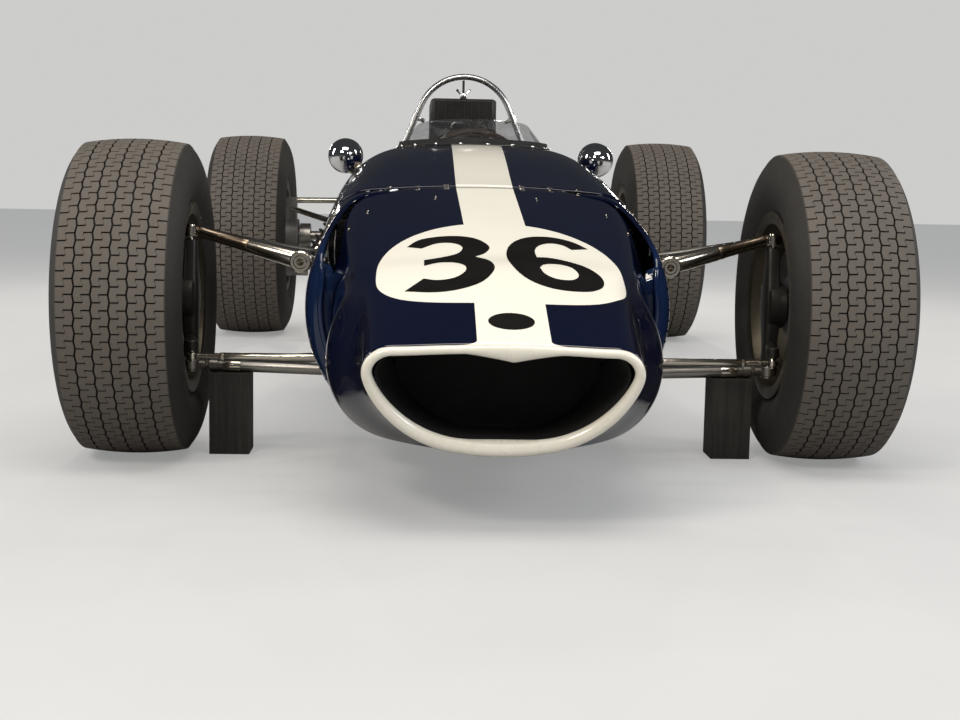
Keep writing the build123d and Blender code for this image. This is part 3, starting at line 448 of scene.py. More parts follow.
class Stock:
    """Gathers points and faces, in millimetres, of the shapes that make one piece."""

    def __init__(self):
        self.points = []
        self.faces = []

    def add(self, points, faces, at=None):
        base = len(self.points)
        for p in points:
            p = Vector(p)
            self.points.append(at @ p if at else p)
        self.faces += [[base + i for i in f] for f in faces]
        return self

    def grid(self, rows, close_across=False, close_along=False, caps=False):
        count, wide = len(rows), len(rows[0])
        faces = []
        for i in range(count if close_along else count - 1):
            for j in range(wide if close_across else wide - 1):
                a, b = i * wide + j, i * wide + (j + 1) % wide
                c, d = ((i + 1) % count) * wide + (j + 1) % wide, ((i + 1) % count) * wide + j
                faces.append((a, b, c, d))
        if caps:
            faces.append(tuple(range(wide))[::-1])
            faces.append(tuple((count - 1) * wide + j for j in range(wide)))
        return self.add([p for row in rows for p in row], faces)

    def tube(self, path, radius, sides=20, closed=False):
        """A round bar along a path; radius may be one size or one for each point."""
        path = [Vector(p) for p in path]
        radii = radius if isinstance(radius, (list, tuple)) else [radius] * len(path)
        count = len(path)
        rows, last = [], None
        for i, p in enumerate(path):
            before = path[i - 1] if (i or closed) else p
            after = path[(i + 1) % count] if (i < count - 1 or closed) else p
            ahead = (after - before).normalized()
            if last is None:
                side = square_to(ahead)[0]
            else:
                side = (last - ahead * last.dot(ahead)).normalized()
            last = side
            other = ahead.cross(side)
            rows.append([p + (side * math.cos(a) + other * math.sin(a)) * radii[i]
                         for a in whole_turn(sides)])
        return self.grid(rows, close_across=True, close_along=closed, caps=not closed)

    def turned(self, profile, start, axis, sides=48, closed=False):
        """A profile of (distance along, radius) turned about an axis; ends at radius 0 are closed."""
        side, other, axis = square_to(axis)
        start = Vector(start)
        rows = []
        for a in whole_turn(sides):
            out = side * math.cos(a) + other * math.sin(a)
            rows.append([start + axis * along + out * max(r, 0.0) for along, r in profile])
        return self.grid(rows, close_across=closed, close_along=True)

    def take(self, bm, at=None):
        """Takes in all points and faces of a bmesh, and frees it."""
        bm.verts.index_update()
        self.add([v.co.copy() for v in bm.verts], [[v.index for v in f.verts] for f in bm.faces], at)
        bm.free()
        return self

    def slab(self, low, high, bevel=1.5, at=None):
        """A box between two corners, given in any order, with its edges rounded."""
        low, high = [Vector(ends) for ends in zip(*[(min(p), max(p)) for p in zip(low, high)])]
        bm = bmesh.new()
        bmesh.ops.create_cube(bm, size=1.0)
        for v in bm.verts:
            v.co = Vector([(low[i] + high[i]) / 2 + v.co[i] * (high[i] - low[i]) for i in range(3)])
        if bevel:
            bmesh.ops.bevel(bm, geom=bm.edges[:], offset=bevel, segments=2, profile=0.5, affect="EDGES")
        return self.take(bm, at)

    def sheet(self, outline, thick, at):
        """A flat plate cut to an outline of (x, y), its thickness along +z of the given place."""
        bm = bmesh.new()
        face = bm.faces.new([bm.verts.new((p[0], p[1], 0)) for p in outline])
        grown = bmesh.ops.extrude_face_region(bm, geom=[face])
        for v in grown["geom"]:
            if isinstance(v, bmesh.types.BMVert):
                v.co.z = thick
        bmesh.ops.recalc_face_normals(bm, faces=bm.faces[:])
        rim = [e for e in bm.edges if abs(e.verts[0].co.z - e.verts[1].co.z) < 1e-6]
        bmesh.ops.bevel(bm, geom=rim, offset=0.8, segments=2, profile=0.5, affect="EDGES")
        return self.take(bm, at)

    def hexagon(self, centre, axis, across, high, bore=0.0):
        """A hexagon nut or bolt head with chamfered corners, standing on centre along the axis."""
        return self.turned(hex_head(across, high, bore), centre, axis, 6)

    def mirrored(self):
        """Adds the mirror image across the car's middle."""
        base = len(self.points)
        self.points += [Vector((-p.x, p.y, p.z)) for p in self.points]
        self.faces += [[base + i for i in reversed(f)] for f in self.faces]
        return self

    def piece(self, name, body, slot, material, angle=35.0, replaces=(), solid=0.0, flip=False):
        """Makes the piece. Edges sharper than the angle stay sharp; solid is how thick its wall is."""
        bm = bmesh.new()
        verts = [bm.verts.new(p * MM) for p in self.points]
        bm.verts.ensure_lookup_table()
        for f in self.faces:
            loop = [verts[i] for i in f]
            if len(set(loop)) >= 3:
                try:
                    bm.faces.new(loop)
                except ValueError:
                    pass
        mesh = settled(bm, bpy.data.meshes.new(name), flip)
        return finish_piece(mesh, name, body, material, angle, replaces, solid)


def finish_piece(mesh, name, body, material, angle=35.0, replaces=(), solid=0.0):
    """Shades a mesh, makes its object, hangs it under its body's empty, and hides the nodes it stands for."""
    mesh.polygons.foreach_set("use_smooth", [True] * len(mesh.polygons))
    mesh.set_sharp_from_angle(angle=math.radians(angle))
    mesh.materials.clear()
    mesh.materials.append(material)
    thing = bpy.data.objects.new(name, mesh)
    bpy.context.scene.collection.objects.link(thing)
    if solid:
        wall = thing.modifiers.new("wall", "SOLIDIFY")
        wall.thickness = solid * MM
        wall.offset = -1
        wall.use_even_offset = True
    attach(thing, body)
    for node in replaces:
        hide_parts(node)
    return thing


def hex_head(across, high, bore=0.0):
    """Profile of a hexagon nut or bolt head, its top edge chamfered."""
    r = across / math.sqrt(3)
    return [(0, r), (high * 0.8, r), (high, r * 0.87), (high, bore)]


RIVET = (10, [(-0.2, 3.2), (0.5, 2.88), (1.1, 1.6), (1.3, 0)])
BOLT = (6, hex_head(10, 6))
SMALL_BOLT = (6, hex_head(9, 6))
LOW_BOLT = (6, hex_head(10, 3))


class Fixings(Nodes):
    """Rivets, screws, bolts or wires: a node tree stands one of its turned shapes on each point."""

    def __init__(self, name, **shapes):
        """Each shape is a number of sides and a profile of (height, radius)."""
        super().__init__(bpy.data.node_groups.new(name, "GeometryNodeTree"))
        self.name = name
        self.shapes = shapes
        self.spots = []
        self.turns = []
        self.kinds = []
        self.lengths = []

    def stand(self, shape, spot, axis, length=1.0):
        """Stands a shape on a spot, along an axis, its height times the length."""
        turn = Matrix(square_to(axis)).transposed().to_quaternion()
        self.spots.append(Vector(spot) * MM)
        self.turns += list(turn)
        self.kinds.append(list(self.shapes).index(shape))
        self.lengths.append(length)

    def turned(self, sides, profile, radius):
        """The turned shape as rings of faces, each a cone between two neighbours of the profile."""
        widest = max(r for high, r in profile)
        fill = "NONE" if len(profile) > 2 else "NGON"
        rings = []
        for ends in zip(profile, profile[1:]):
            (low, low_r), (high, high_r) = sorted(ends, key=lambda end: end[0])
            sizes = {"Vertices": sides, "Depth": (high - low) * MM,
                     "Radius Bottom": radius * (low_r / widest), "Radius Top": radius * (high_r / widest)}
            ring = self.make("GeometryNodeMeshCone", {"fill_type": fill}, sizes, "Mesh")
            raised = {"Geometry": ring, "Translation": (0, 0, low * MM)}
            rings.append(self.make("GeometryNodeTransform", {}, raised))
        whole = self.make("GeometryNodeJoinGeometry", {}, {"Geometry": rings[::-1]})
        return self.make("GeometryNodeMergeByDistance", {}, {"Geometry": whole, "Distance": WELD * MM})

    def named(self, name, kind):
        return self.make("GeometryNodeInputNamedAttribute", {"data_type": kind}, {"Name": name})

    def build(self, material):
        """Builds the tree, and hands back the values of its inputs by their sockets' identifiers."""
        sockets = self.tree.interface
        sockets.new_socket("Points", in_out="INPUT", socket_type="NodeSocketGeometry")
        sockets.new_socket("Piece", in_out="OUTPUT", socket_type="NodeSocketGeometry")
        sizes = {}
        for shape, (sides, profile) in self.shapes.items():
            size = sockets.new_socket(shape + " radius", in_out="INPUT", socket_type="NodeSocketFloat")
            sizes[size.identifier] = max(r for high, r in profile) * MM
        points = self.make("NodeGroupInput", {}, {}, "Points")
        kind = self.named("kind", "FLOAT")
        turn = self.named("turn", "QUATERNION")
        length = self.named("length", "FLOAT")
        stretch = self.make("ShaderNodeCombineXYZ", {}, {"X": 1.0, "Y": 1.0, "Z": length})
        stood = []
        for number, (shape, (sides, profile)) in enumerate(self.shapes.items()):
            radius = Field(self, points.socket.node.outputs[shape + " radius"])
            chosen = kind.maths("COMPARE", kind, number, 0.5)
            shaped = self.turned(sides, profile, radius)
            values = {"Points": points, "Selection": chosen, "Instance": shaped, "Rotation": turn,
                      "Scale": stretch}
            stood.append(self.make("GeometryNodeInstanceOnPoints", {}, values))
        joined = self.make("GeometryNodeJoinGeometry", {}, {"Geometry": stood[::-1]})
        real = self.make("GeometryNodeRealizeInstances", {}, {"Geometry": joined})
        dressed = self.make("GeometryNodeSetMaterial", {}, {"Geometry": real, "Material": material})
        self.make("NodeGroupOutput", {}, {"Piece": dressed})
        return sizes

    def piece(self, body, slot, material, angle=35.0):
        """Runs the tree on the points and finishes the plain mesh that comes out."""
        layers = {"turn": ("QUATERNION", self.turns), "kind": ("FLOAT", self.kinds),
                  "length": ("FLOAT", self.lengths)}
        points = bpy.data.meshes.new(self.name + "_points")
        points.from_pydata(self.spots, [], [])
        for label, (kind, values) in layers.items():
            points.attributes.new(label, kind, "POINT").data.foreach_set("value", values)
        holder = bpy.data.objects.new(self.name + "_points", points)
        bpy.context.scene.collection.objects.link(holder)
        standing = holder.modifiers.new("standing", "NODES")
        sizes = self.build(material)
        standing.node_group = self.tree
        for identifier, size in sizes.items():
            standing[identifier] = size
        ready = holder.evaluated_get(bpy.context.evaluated_depsgraph_get())
        mesh = bpy.data.meshes.new_from_object(ready)
        mesh.name = self.name
        holder.modifiers.clear()
        bpy.data.objects.remove(holder)
        for label in layers:
            if label in mesh.attributes:
                mesh.attributes.remove(mesh.attributes[label])
        bm = bmesh.new()
        bm.from_mesh(mesh)
        return finish_piece(settled(bm, mesh), self.name, body, material, angle)


def arc(a, b, c, count, first=True):
    """Points of the round arc from a over b to c."""
    (ax, ay), (bx, by), (cx, cy) = a, b, c
    d = 2 * (ax * (by - cy) + bx * (cy - ay) + cx * (ay - by))
    if abs(d) < 1e-6:
        points = [(ax + (cx - ax) * i / count, ay + (cy - ay) * i / count) for i in range(count + 1)]
        return points if first else points[1:]
    ux = ((ax**2 + ay**2) * (by - cy) + (bx**2 + by**2) * (cy - ay) + (cx**2 + cy**2) * (ay - by)) / d
    uy = ((ax**2 + ay**2) * (cx - bx) + (bx**2 + by**2) * (ax - cx) + (cx**2 + cy**2) * (bx - ax)) / d
    r = math.hypot(ax - ux, ay - uy)
    t0, t1, t2 = [math.atan2(p[1] - uy, p[0] - ux) for p in (a, b, c)]
    turn = (t2 - t0) % (2 * math.pi)
    if (t1 - t0) % (2 * math.pi) > turn:
        turn -= 2 * math.pi
    points = [(ux + r * math.cos(t0 + turn * i / count), uy + r * math.sin(t0 + turn * i / count))
              for i in range(count + 1)]
    return points if first else points[1:]


# The mouth: its plane leans by degrees, its middle lies at a height, and its lip has a notch off the middle
MOUTH_LEAN = 16.26
MOUTH_Z = 252
LIP_NOTCH_X = 17

# Body skin through the section rows: y, lean, bottom z, bottom half width, side x, side z,
# top of side x and z, shoulder x and z, crown edge x and z, crown z
CONE_ROWS = [
    (-1797, MOUTH_LEAN, 152, 72, 202, 219, 247, 300, 233, 336, 182, 352, 358),
    (-1742, 0, 140, 150, 272, 262, 248, 352, 236, 376, 196, 389, 400),
    (-1473, 0, 128, 215, 312, 285, 284, 438, 270, 458, 236, 468, 480),
    (-1318, 0, 118, 240, 334, 300, 304, 476, 289, 498, 250, 509, 523),
    (-1020, 0, 112, 272, 378, 330, 350, 525, 320, 566, 250, 590, 601),
]
TUB_ROWS = [
    (-1348, 0, 125, 236, 352, 315, 324, 484, 306, 502, 256, 513, 524),
    (-1338, 0, 117, 250, 366, 315, 333, 489, 314, 508, 260, 518, 527),
    (-1318, 0, 113, 258, 378, 316, 340, 493, 320, 513, 262, 523, 533),
    (-1280, 0, 112, 264, 382, 317, 344, 498, 322, 522, 261, 535, 545),
    (-1200, 0, 112, 268, 377, 318, 346, 503, 322, 536, 258, 553, 563),
    (-1020, 0, 112, 272, 378, 330, 350, 525, 320, 566, 250, 590, 601),
    (-480, 0, 112, 262, 386, 390, 343, 592, 282, 656, 189, 690, 705),
    (60, 0, 112, 262, 388, 380, 345, 598, 290, 650, 200, 676, 690),
    (540, 0, 115, 240, 345, 330, 318, 560, 284, 598, 200, 616, 625),
]


class Skin:
    """The smooth outer surface through a table of section rows, from the middle of the floor to the crown."""

    def __init__(self, rows):
        outlines = []
        for y, lean, low, wb, wm, zm, wt, zt, ws, zs, wc, zc, top in rows:
            half = [(wb * i / 8, low) for i in range(9)]
            half += arc((wb, low), (wm, zm), (wt, zt), 36, False)
            half += arc((wt, zt), (ws, zs), (wc, zc), 18, False)
            crown = arc((wc, zc), (0, top), (-wc, zc), 48, False)
            half += crown[:24]
            half = np.array(half)
            for step in range(10):
                inner = half.copy()
                inner[1:-1] = half[1:-1] * 0.5 + (half[:-2] + half[2:]) * 0.25
                half = inner
            a = math.radians(lean)
            x, up = half.T
            outlines.append(np.stack([x, y - up * math.sin(a), up * math.cos(a)], 1))
        grid = np.array(outlines)
        spot = np.array([r[0] for r in rows], float)
        slope = np.gradient(grid, spot, axis=0)
        fine = np.linspace(spot[0], spot[-1], 500)
        seg = np.clip(np.searchsorted(spot, fine, side="right") - 1, 0, len(rows) - 2)
        wide = (spot[seg + 1] - spot[seg])[:, None, None]
        t = ((fine - spot[seg]) / (spot[seg + 1] - spot[seg]))[:, None, None]
        self.dense = ((2 * t**3 - 3 * t**2 + 1) * grid[seg] + (t**3 - 2 * t**2 + t) * wide * slope[seg]
                      + (3 * t**2 - 2 * t**3) * grid[seg + 1] + (t**3 - t**2) * wide * slope[seg + 1])
        self.columns = self.dense.shape[1]
        self.stations = {}

    def outline(self, y):
        """All points of the half outline at a station."""
        if y not in self.stations:
            ys = self.dense[:, :, 1]
            k = np.clip((ys <= y).sum(axis=0) - 1, 0, len(ys) - 2)
            every = np.arange(self.columns)
            a, b = self.dense[k, every], self.dense[k + 1, every]
            t = np.clip((y - a[:, 1]) / (b[:, 1] - a[:, 1]), 0, 1)[:, None]
            self.stations[y] = a + (b - a) * t
        return self.stations[y]

    def point(self, column, y):
        """The surface point of a column, which may lie between two, at a station."""
        line = self.outline(float(y))
        k = min(int(column), self.columns - 2)
        return Vector(line[k] + (line[k + 1] - line[k]) * (column - k))

    def column_at(self, y, value, axis):
        """The column above the widest point where x, or z, has a value at a station."""
        line = self.outline(float(y))
        start = int(np.argmax(line[:, 0])) if axis == 0 else 9
        sign = -1 if axis == 0 else 1
        return float(np.interp(sign * value, sign * line[start:, axis], np.arange(start, self.columns)))

    def height(self, x, y):
        return self.point(self.column_at(y, abs(x), 0), y).z


CONE = Skin(CONE_ROWS)
TUB = Skin(TUB_ROWS)
TOP = TUB.columns - 1

# Stations of the body's seams, and the line between nose panel and tub as (y, z)
TUB_FRONT = -1348
CONE_BACK = -1320.0
NOSE_SEAM = -1024
SCREEN_SEAM = -480
PANEL_LINE = [(TUB_FRONT, 395), (-1345, 420), (-1338, 442), (-1325, 460), (-1300, 479), (-1250, 502),
              (-1180, 532), (-1100, 563), (-1055, 582), (-1030, 593)]


def along_line(line, spot):
    """The value at a spot of a line that is given as pairs."""
    return float(np.interp(spot, [p[0] for p in line], [p[1] for p in line]))


def panel_edge(column):
    """The station at which a column of the cone meets the line between nose panel and tub."""
    if CONE.point(column, -1345).z >= 462:
        for y in np.linspace(-1345, NOSE_SEAM, 120):
            if CONE.point(column, y).z < along_line(PANEL_LINE, y):
                return max(float(y) - 2.0, CONE_BACK)
        return NOSE_SEAM - 2.0
    return CONE_BACK


def nose_cone():
    """Nose cone in one with the top panel behind it, down to the seam with the tub."""
    ends = [panel_edge(k) for k in range(CONE.columns)]
    for step in range(6):
        ends = [(ends[max(k - 1, 0)] + 2 * end + ends[min(k + 1, TOP)]) / 4 for k, end in enumerate(ends)]
    rows = []
    for k, end in enumerate(ends):
        start = CONE.dense[0, k, 1]
        rows.append([CONE.point(k, start + (end - start) * (i / 74)) for i in range(75)])
    stock = Stock().grid(rows).mirrored()
    stock.piece("nose_cone_skin", "chassis", "body_paint", PAINT, 40, ["nose_cone"], 3.5)


def nose_lip():
    """The rounded lip follows the mouth's outline, and has a notch that dips a little off its top middle."""
    line = [Vector(p) for p in CONE.dense[0]]
    loop = line + [Vector((-p.x, p.y, p.z)) for p in line[-2:0:-1]]
    centre = Vector((0, -1870, MOUTH_Z))
    lean = math.radians(MOUTH_LEAN)
    plane_out = Vector((0, -math.cos(lean), -math.sin(lean)))
    rows = []
    count = len(loop)
    for i, p in enumerate(loop):
        along = (loop[(i + 1) % count] - loop[i - 1]).normalized()
        inward = plane_out.cross(along).normalized()
        if inward.dot(centre - p) < 0:
            inward = -inward
        deep = along_line([(152, 27), (200, 25), (260, 21), (330, 17), (350, 14)], p.z)
        out_most = along_line([(152, 15), (300, 13), (350, 9.5)], p.z)
        start = p.copy()
        if p.z > 330:
            deep += 17.0 * max(1 - abs(p.x - LIP_NOTCH_X) / 85.0, 0.0) ** 1.15
        elif p.z < 153 and abs(p.x) < 72:
            start.z -= 4.5 * (1 - (p.x / 72) ** 2)
        section = []
        for j in range(15):
            a = math.pi * (j / 14.0)
            bulge = plane_out * (out_most * math.sin(a) ** 0.8)
            section.append(start + inward * (deep * (1 - math.cos(a)) / 2) + bulge)
        for j in range(1, 8):
            s = j / 8.0
            back = plane_out * (26 * math.sin(math.pi / 2 * s))
            section.append(p + inward * (deep - (deep - 6) * s) - back)
        section.append(p + inward * 4.0 - plane_out * 12)
        rows.append(section)
    stock = Stock().grid(rows, close_across=True, close_along=True)
    stock.piece("nose_lip_ring", "chassis", "cream_paint", CREAM_PAINT, 50, ["nose_lip"])


def edge_roll(stock, line, inward, radius):
    """A rolled lip along a panel's edge: a bead that turns inward from the surface."""
    rows = []
    for p, into in zip(line, inward):
        rows.append([p + into[0] * (radius * math.sin(a)) + into[1] * (radius * (1 - math.cos(a)))
                     for a in (math.pi * 0.75 * j / 6 for j in range(7))])
    stock.grid(rows)


# Middle of the plain disc on the nose, and outlines in plan of the plain digits, in runs that meet at corners
DISC_X = 16
DISC_Y = -1810
THREE = (
    [(-171, -1440), (-142, -1397), (-82, -1382), (-34, -1399), (-8, -1446), (-17, -1485), (-38, -1509)],
    [(-38, -1509), (-14, -1532), (-3, -1570), (-9, -1608), (-32, -1652), (-73, -1681), (-119, -1689),
     (-173, -1676)],
    [(-173, -1676), (-138, -1625)],
    [(-138, -1625), (-112, -1636), (-81, -1628), (-60, -1600), (-59, -1570), (-77, -1550), (-107, -1546),
     (-137, -1561)],
    [(-137, -1561), (-137, -1525)],
    [(-137, -1525), (-99, -1508), (-71, -1487), (-61, -1458), (-68, -1436), (-87, -1424), (-113, -1427),
     (-142, -1453)],
    [(-142, -1453), (-171, -1440)],
)
SIX = (
    [(191, -1431), (162, -1394), (122, -1375), (80, -1380), (51, -1404), (32, -1442), (24, -1491),
     (28, -1550), (46, -1612), (75, -1652), (116, -1672), (165, -1668), (193, -1646), (202, -1614),
     (195, -1578), (169, -1538), (131, -1511), (106, -1502), (83, -1502)],
    [(83, -1502), (82, -1462), (93, -1431), (116, -1414), (140, -1420), (157, -1444)],
    [(157, -1444), (191, -1431)],
)
SIX_EYE = (
    [(84, -1570), (94, -1550), (119, -1542), (144, -1554), (156, -1584), (152, -1609), (136, -1623),
     (110, -1621), (91, -1600), (84, -1570)],
)


def laid_on_nose(name, outlines, material, raised=0.5):
    """A thin shape on the nose's skin: its outlines in plan are filled, cut fine and dropped on the skin."""
    bm = bmesh.new()
    for runs in outlines:
        line = []
        for run in runs:
            line += smooth_line(run, 5 if len(run) > 2 else 1)[:-1]
        ring = [bm.verts.new((x, y, 0)) for x, y in line]
        for i, v in enumerate(ring):
            bm.edges.new((v, ring[(i + 1) % len(ring)]))
    bmesh.ops.triangle_fill(bm, use_beauty=True, use_dissolve=False, edges=bm.edges[:], normal=(0, 0, 1))
    for way in (Vector((1, 0, 0)), Vector((0, 1, 0))):
        for k in range(-90, 20):
            bmesh.ops.bisect_plane(bm, geom=bm.verts[:] + bm.edges[:] + bm.faces[:], dist=WELD,
                                   plane_co=way * (k * 21.0), plane_no=way)
    bmesh.ops.triangulate(bm, faces=bm.faces[:])
    bm.verts.index_update()
    stock = Stock()
    stock.add([(v.co.x, v.co.y, CONE.height(v.co.x, v.co.y) + raised) for v in bm.verts],
              [[v.index for v in (f.verts if f.normal.z > 0 else reversed(f.verts))] for f in bm.faces])
    bm.free()
    stock.piece(name, "chassis", "black_panel", material, 60)


def number_and_disc():
    """The plain race number and the plain disc on the nose."""
    laid_on_nose("number_three", [THREE], NUMBER_BLACK)
    laid_on_nose("number_six", [SIX, SIX_EYE], NUMBER_BLACK)
    ring = [(DISC_X + 41 * math.cos(a), DISC_Y + 31.5 * math.sin(a)) for a in whole_turn(48)]
    laid_on_nose("nose_disc", [[ring + ring[:1]]], NUMBER_BLACK, 0.7)


def low_edge(y):
    """Height of the seam between tub and scuttle panel."""
    return along_line([(-500, 540), (-478, 598)], y)


def tub_shell():
    """The tub's painted outside, with a rolled edge and a flange round its open front."""
    stock = Stock()
    stations = [*range(TUB_FRONT, -1332, 2), *range(-1332, -1300, 4), *range(-1300, -1020, 20)]
    stations += [*range(-1020, -500, 26), -500, -495, -489, -483, -478, *range(-465, 540, 26), 540]
    rows = []
    for y in stations:
        edge = along_line(PANEL_LINE, y) if y < NOSE_SEAM else low_edge(y)
        top = TUB.column_at(y, edge, 2)
        rows.append([TUB.point(top * j / 70.0, max(y, TUB_FRONT + 0.1)) for j in range(71)])
    stock.grid(rows)
    lip = [row[-1] for row in rows if row[-1].y < -1020]
    path = rows[0] + lip[1:]
    frames = []
    for i, p in enumerate(path):
        ahead = (path[min(i + 1, len(path) - 1)] - path[max(i - 1, 0)]).normalized()
        inside = Vector((0, -1200, 330)) - p
        inside.y = 0
        inside.normalize()
        away = ahead.cross(inside).normalized()
        if away.y > 0:
            away = -away
        frames.append((away, inside))
    edge_roll(stock, path, frames, 7.0)
    flange = []
    for p, (away, inside) in zip(path, frames):
        if 150 < p.z < 470 and p.y < -1330:
            flange.append([p + inside * (12 + 2.5 * k) - away * (4.0 + 0.5 * k) for k in range(9)])
    stock.grid(flange)
    stock.mirrored()
    stock.piece("tub_skin", "chassis", "body_paint", PLAIN_PAINT, 42, ["monocoque_tub"], 3.0)


def opening_half(y):
    """Half width of the cockpit opening at a station: straight sides, and a round arc at the front."""
    half, long = 205.0, 180.0
    if y >= SCREEN_SEAM + long:
        return half
    if y <= SCREEN_SEAM:
        return 0.0
    r = (half**2 + long**2) / (2 * long)
    return math.sqrt(max(r**2 - (y - SCREEN_SEAM - r) ** 2, 0.0))


def scuttle():
    """Scuttle panel that runs back as the cockpit's surround, with a rolled edge at the opening."""
    stations = [*range(-1018, -500, 18), -500, -495, -489, -483, SCREEN_SEAM]
    stations += [-479.5, -478, -475, -470, -463, -454, -443, -430, -415, -395, -370, -340, -300]
    stations += [*range(-275, 440, 26), 440]
    rows = []
    for y in stations:
        low = TUB.column_at(y, low_edge(y), 2)
        half = opening_half(y)
        high = TUB.column_at(y, half, 0) if half > 0.5 else float(TOP)
        rows.append([TUB.point(low + (high - low) * j / 44.0, y) for j in range(45)])
    stock = Stock()
    stock.grid(rows)
    rim = [row[-1] for row in rows if row[-1].y >= SCREEN_SEAM]
    bead = []
    for i, p in enumerate(rim):
        ahead = (rim[min(i + 1, len(rim) - 1)] - rim[max(i - 1, 0)]).normalized()
        into = Vector((-ahead.y, ahead.x, 0)).normalized()
        if into.x > 0 and p.x > 1:
            into = -into
        bead.append((into, Vector((0, 0, -1))))
    edge_roll(stock, rim, bead, 6.0)
    stock.mirrored()
    stock.piece("scuttle_skin", "chassis", "body_paint", PAINT, 42, ["scuttle_panel"], 3.0)


# Tread of the tyres. CUTS has the rows of one pitch as (share of the pitch, kind): kind 1 cuts a rib's first
# half, kind 2 its second
RIBS = 6
PITCH = 32.0
GROOVE = 2.1
GROOVE_DEEP = 6.0
CUT_DEEP = 4.0
ZIGZAG = 1.6
SHOULDER_DROP = 9.0
CUTS = [(-0.055, 0), (-0.040, 1), (0.040, 1), (0.055, 0), (0.445, 0), (0.460, 2), (0.540, 2), (0.555, 0)]


def tyre(name, side, x, y, radius, half, tread, rim, body, replaces):
    """A ribbed racing tyre: zigzag grooves and cross cuts are real, and the finer cuts are its finish."""
    pitches = int(round(2 * math.pi * radius / PITCH))
    rows = [(n + phase, kind) for n in range(pitches) for phase, kind in CUTS]
    width = 2 * tread / RIBS
    stops = [(rib, u) for rib in range(RIBS) for u in (0.0, 0.03, 0.5, 0.53, 0.97, 1.0)]
    shoulder_r = radius - SHOULDER_DROP
    crown = (tread**2 + SHOULDER_DROP**2) / (2 * SHOULDER_DROP)

    def surface_r(px):
        return radius - crown + math.sqrt(max(crown**2 - px**2, 0))

    side_arc = arc((rim, BEAD_SEAT_R + 22.5), (half, BEAD_SEAT_R + 74), (tread + 3.5, shoulder_r - 5), 12)
    inside = [(rim, 0.5), (rim - 12, 0.5), (rim - 24, 18), (half - 18, 70),
              (tread - 14, radius - 26 - BEAD_SEAT_R)]
    inside += [(-px, up) for px, up in reversed(inside)]
    points, tops, cut_marks, uvs = [], [], [], []
    for v, kind in rows:
        wave = ZIGZAG - 2 * ZIGZAG * (1 - abs(2 * (v % 1.0) - 1))
        line = []
        for px, pr in side_arc:
            line.append((-px, pr, 0.0, 0.0, -1.0))
        line.append((-tread - 1.2, shoulder_r - 1.2, 0.4, 0.0, -0.2))
        for rib, u in stops:
            left = -tread + rib * width + (0 if rib == 0 else wave + GROOVE)
            right = -tread + (rib + 1) * width + (0 if rib == RIBS - 1 else wave - GROOVE)
            px = left + (right - left) * u
            if (kind == 1 and u <= 0.5) or (kind == 2 and u >= 0.53):
                line.append((px, surface_r(px) - CUT_DEEP, 0.5, 1.0, rib + u))
            else:
                line.append((px, surface_r(px), 1.0, 0.0, rib + u))
            if rib < RIBS - 1 and u == 1.0:
                for q in (-0.75, 0.75):
                    gx = -tread + (rib + 1) * width + wave + q * GROOVE
                    line.append((gx, surface_r(gx) - GROOVE_DEEP, 0.3, 1.0, rib + 1.0))
        line.append((tread + 1.2, shoulder_r - 1.2, 0.4, 0.0, 6.2))
        for px, pr in reversed(side_arc):
            line.append((px, pr, 0.0, 0.0, 7.0))
        for px, up in inside:
            line.append((px, BEAD_SEAT_R + up, 0.0, 0.0, 7.5))
        a = 2 * math.pi * v / pitches
        for px, pr, top, cut, u in line:
            points.append(Vector((x + side * px, y - pr * math.cos(a), radius + side * pr * math.sin(a))))
            tops.append(top)
            cut_marks.append(cut)
            uvs.append((max(u, 0.0), v))
    total, wide = len(rows), len(line)
    faces = []
    for i in range(total):
        for j in range(wide):
            here, ahead = i * wide, (i + 1) % total * wide
            beside = (j + 1) % wide
            faces.append((here + j, ahead + j, ahead + beside, here + beside))
    mesh = bpy.data.meshes.new(name)
    mesh.from_pydata([p * MM for p in points], [], faces)
    layer = mesh.uv_layers.new(name="tread")
    loop_points = np.zeros(len(mesh.loops), np.int32)
    mesh.loops.foreach_get("vertex_index", loop_points)
    coords = np.array(uvs)[loop_points]
    starts = np.zeros(len(mesh.polygons), np.int32)
    mesh.polygons.foreach_get("loop_start", starts)
    quads = coords[:, 1].reshape(-1, 4)
    wrap = (quads.max(1) - quads.min(1)) > pitches / 2
    quads[wrap] = np.where(quads[wrap] < pitches / 2, quads[wrap] + pitches, quads[wrap])
    coords[:, 1] = quads.reshape(-1)
    layer.data.foreach_set("uv", coords.reshape(-1))
    for label, values in (("tread_top", tops), ("cut", cut_marks)):
        mesh.attributes.new(label, "FLOAT", "POINT").data.foreach_set("value", values)
    mesh.validate()
    mesh.update()
    finish_piece(mesh, name, body, RUBBER, 38, replaces)


# Radii of the circles on which the web's holes and the hub's bolts lie
HOLE_CIRCLE = 112.0
BOLT_CIRCLE = 51.48


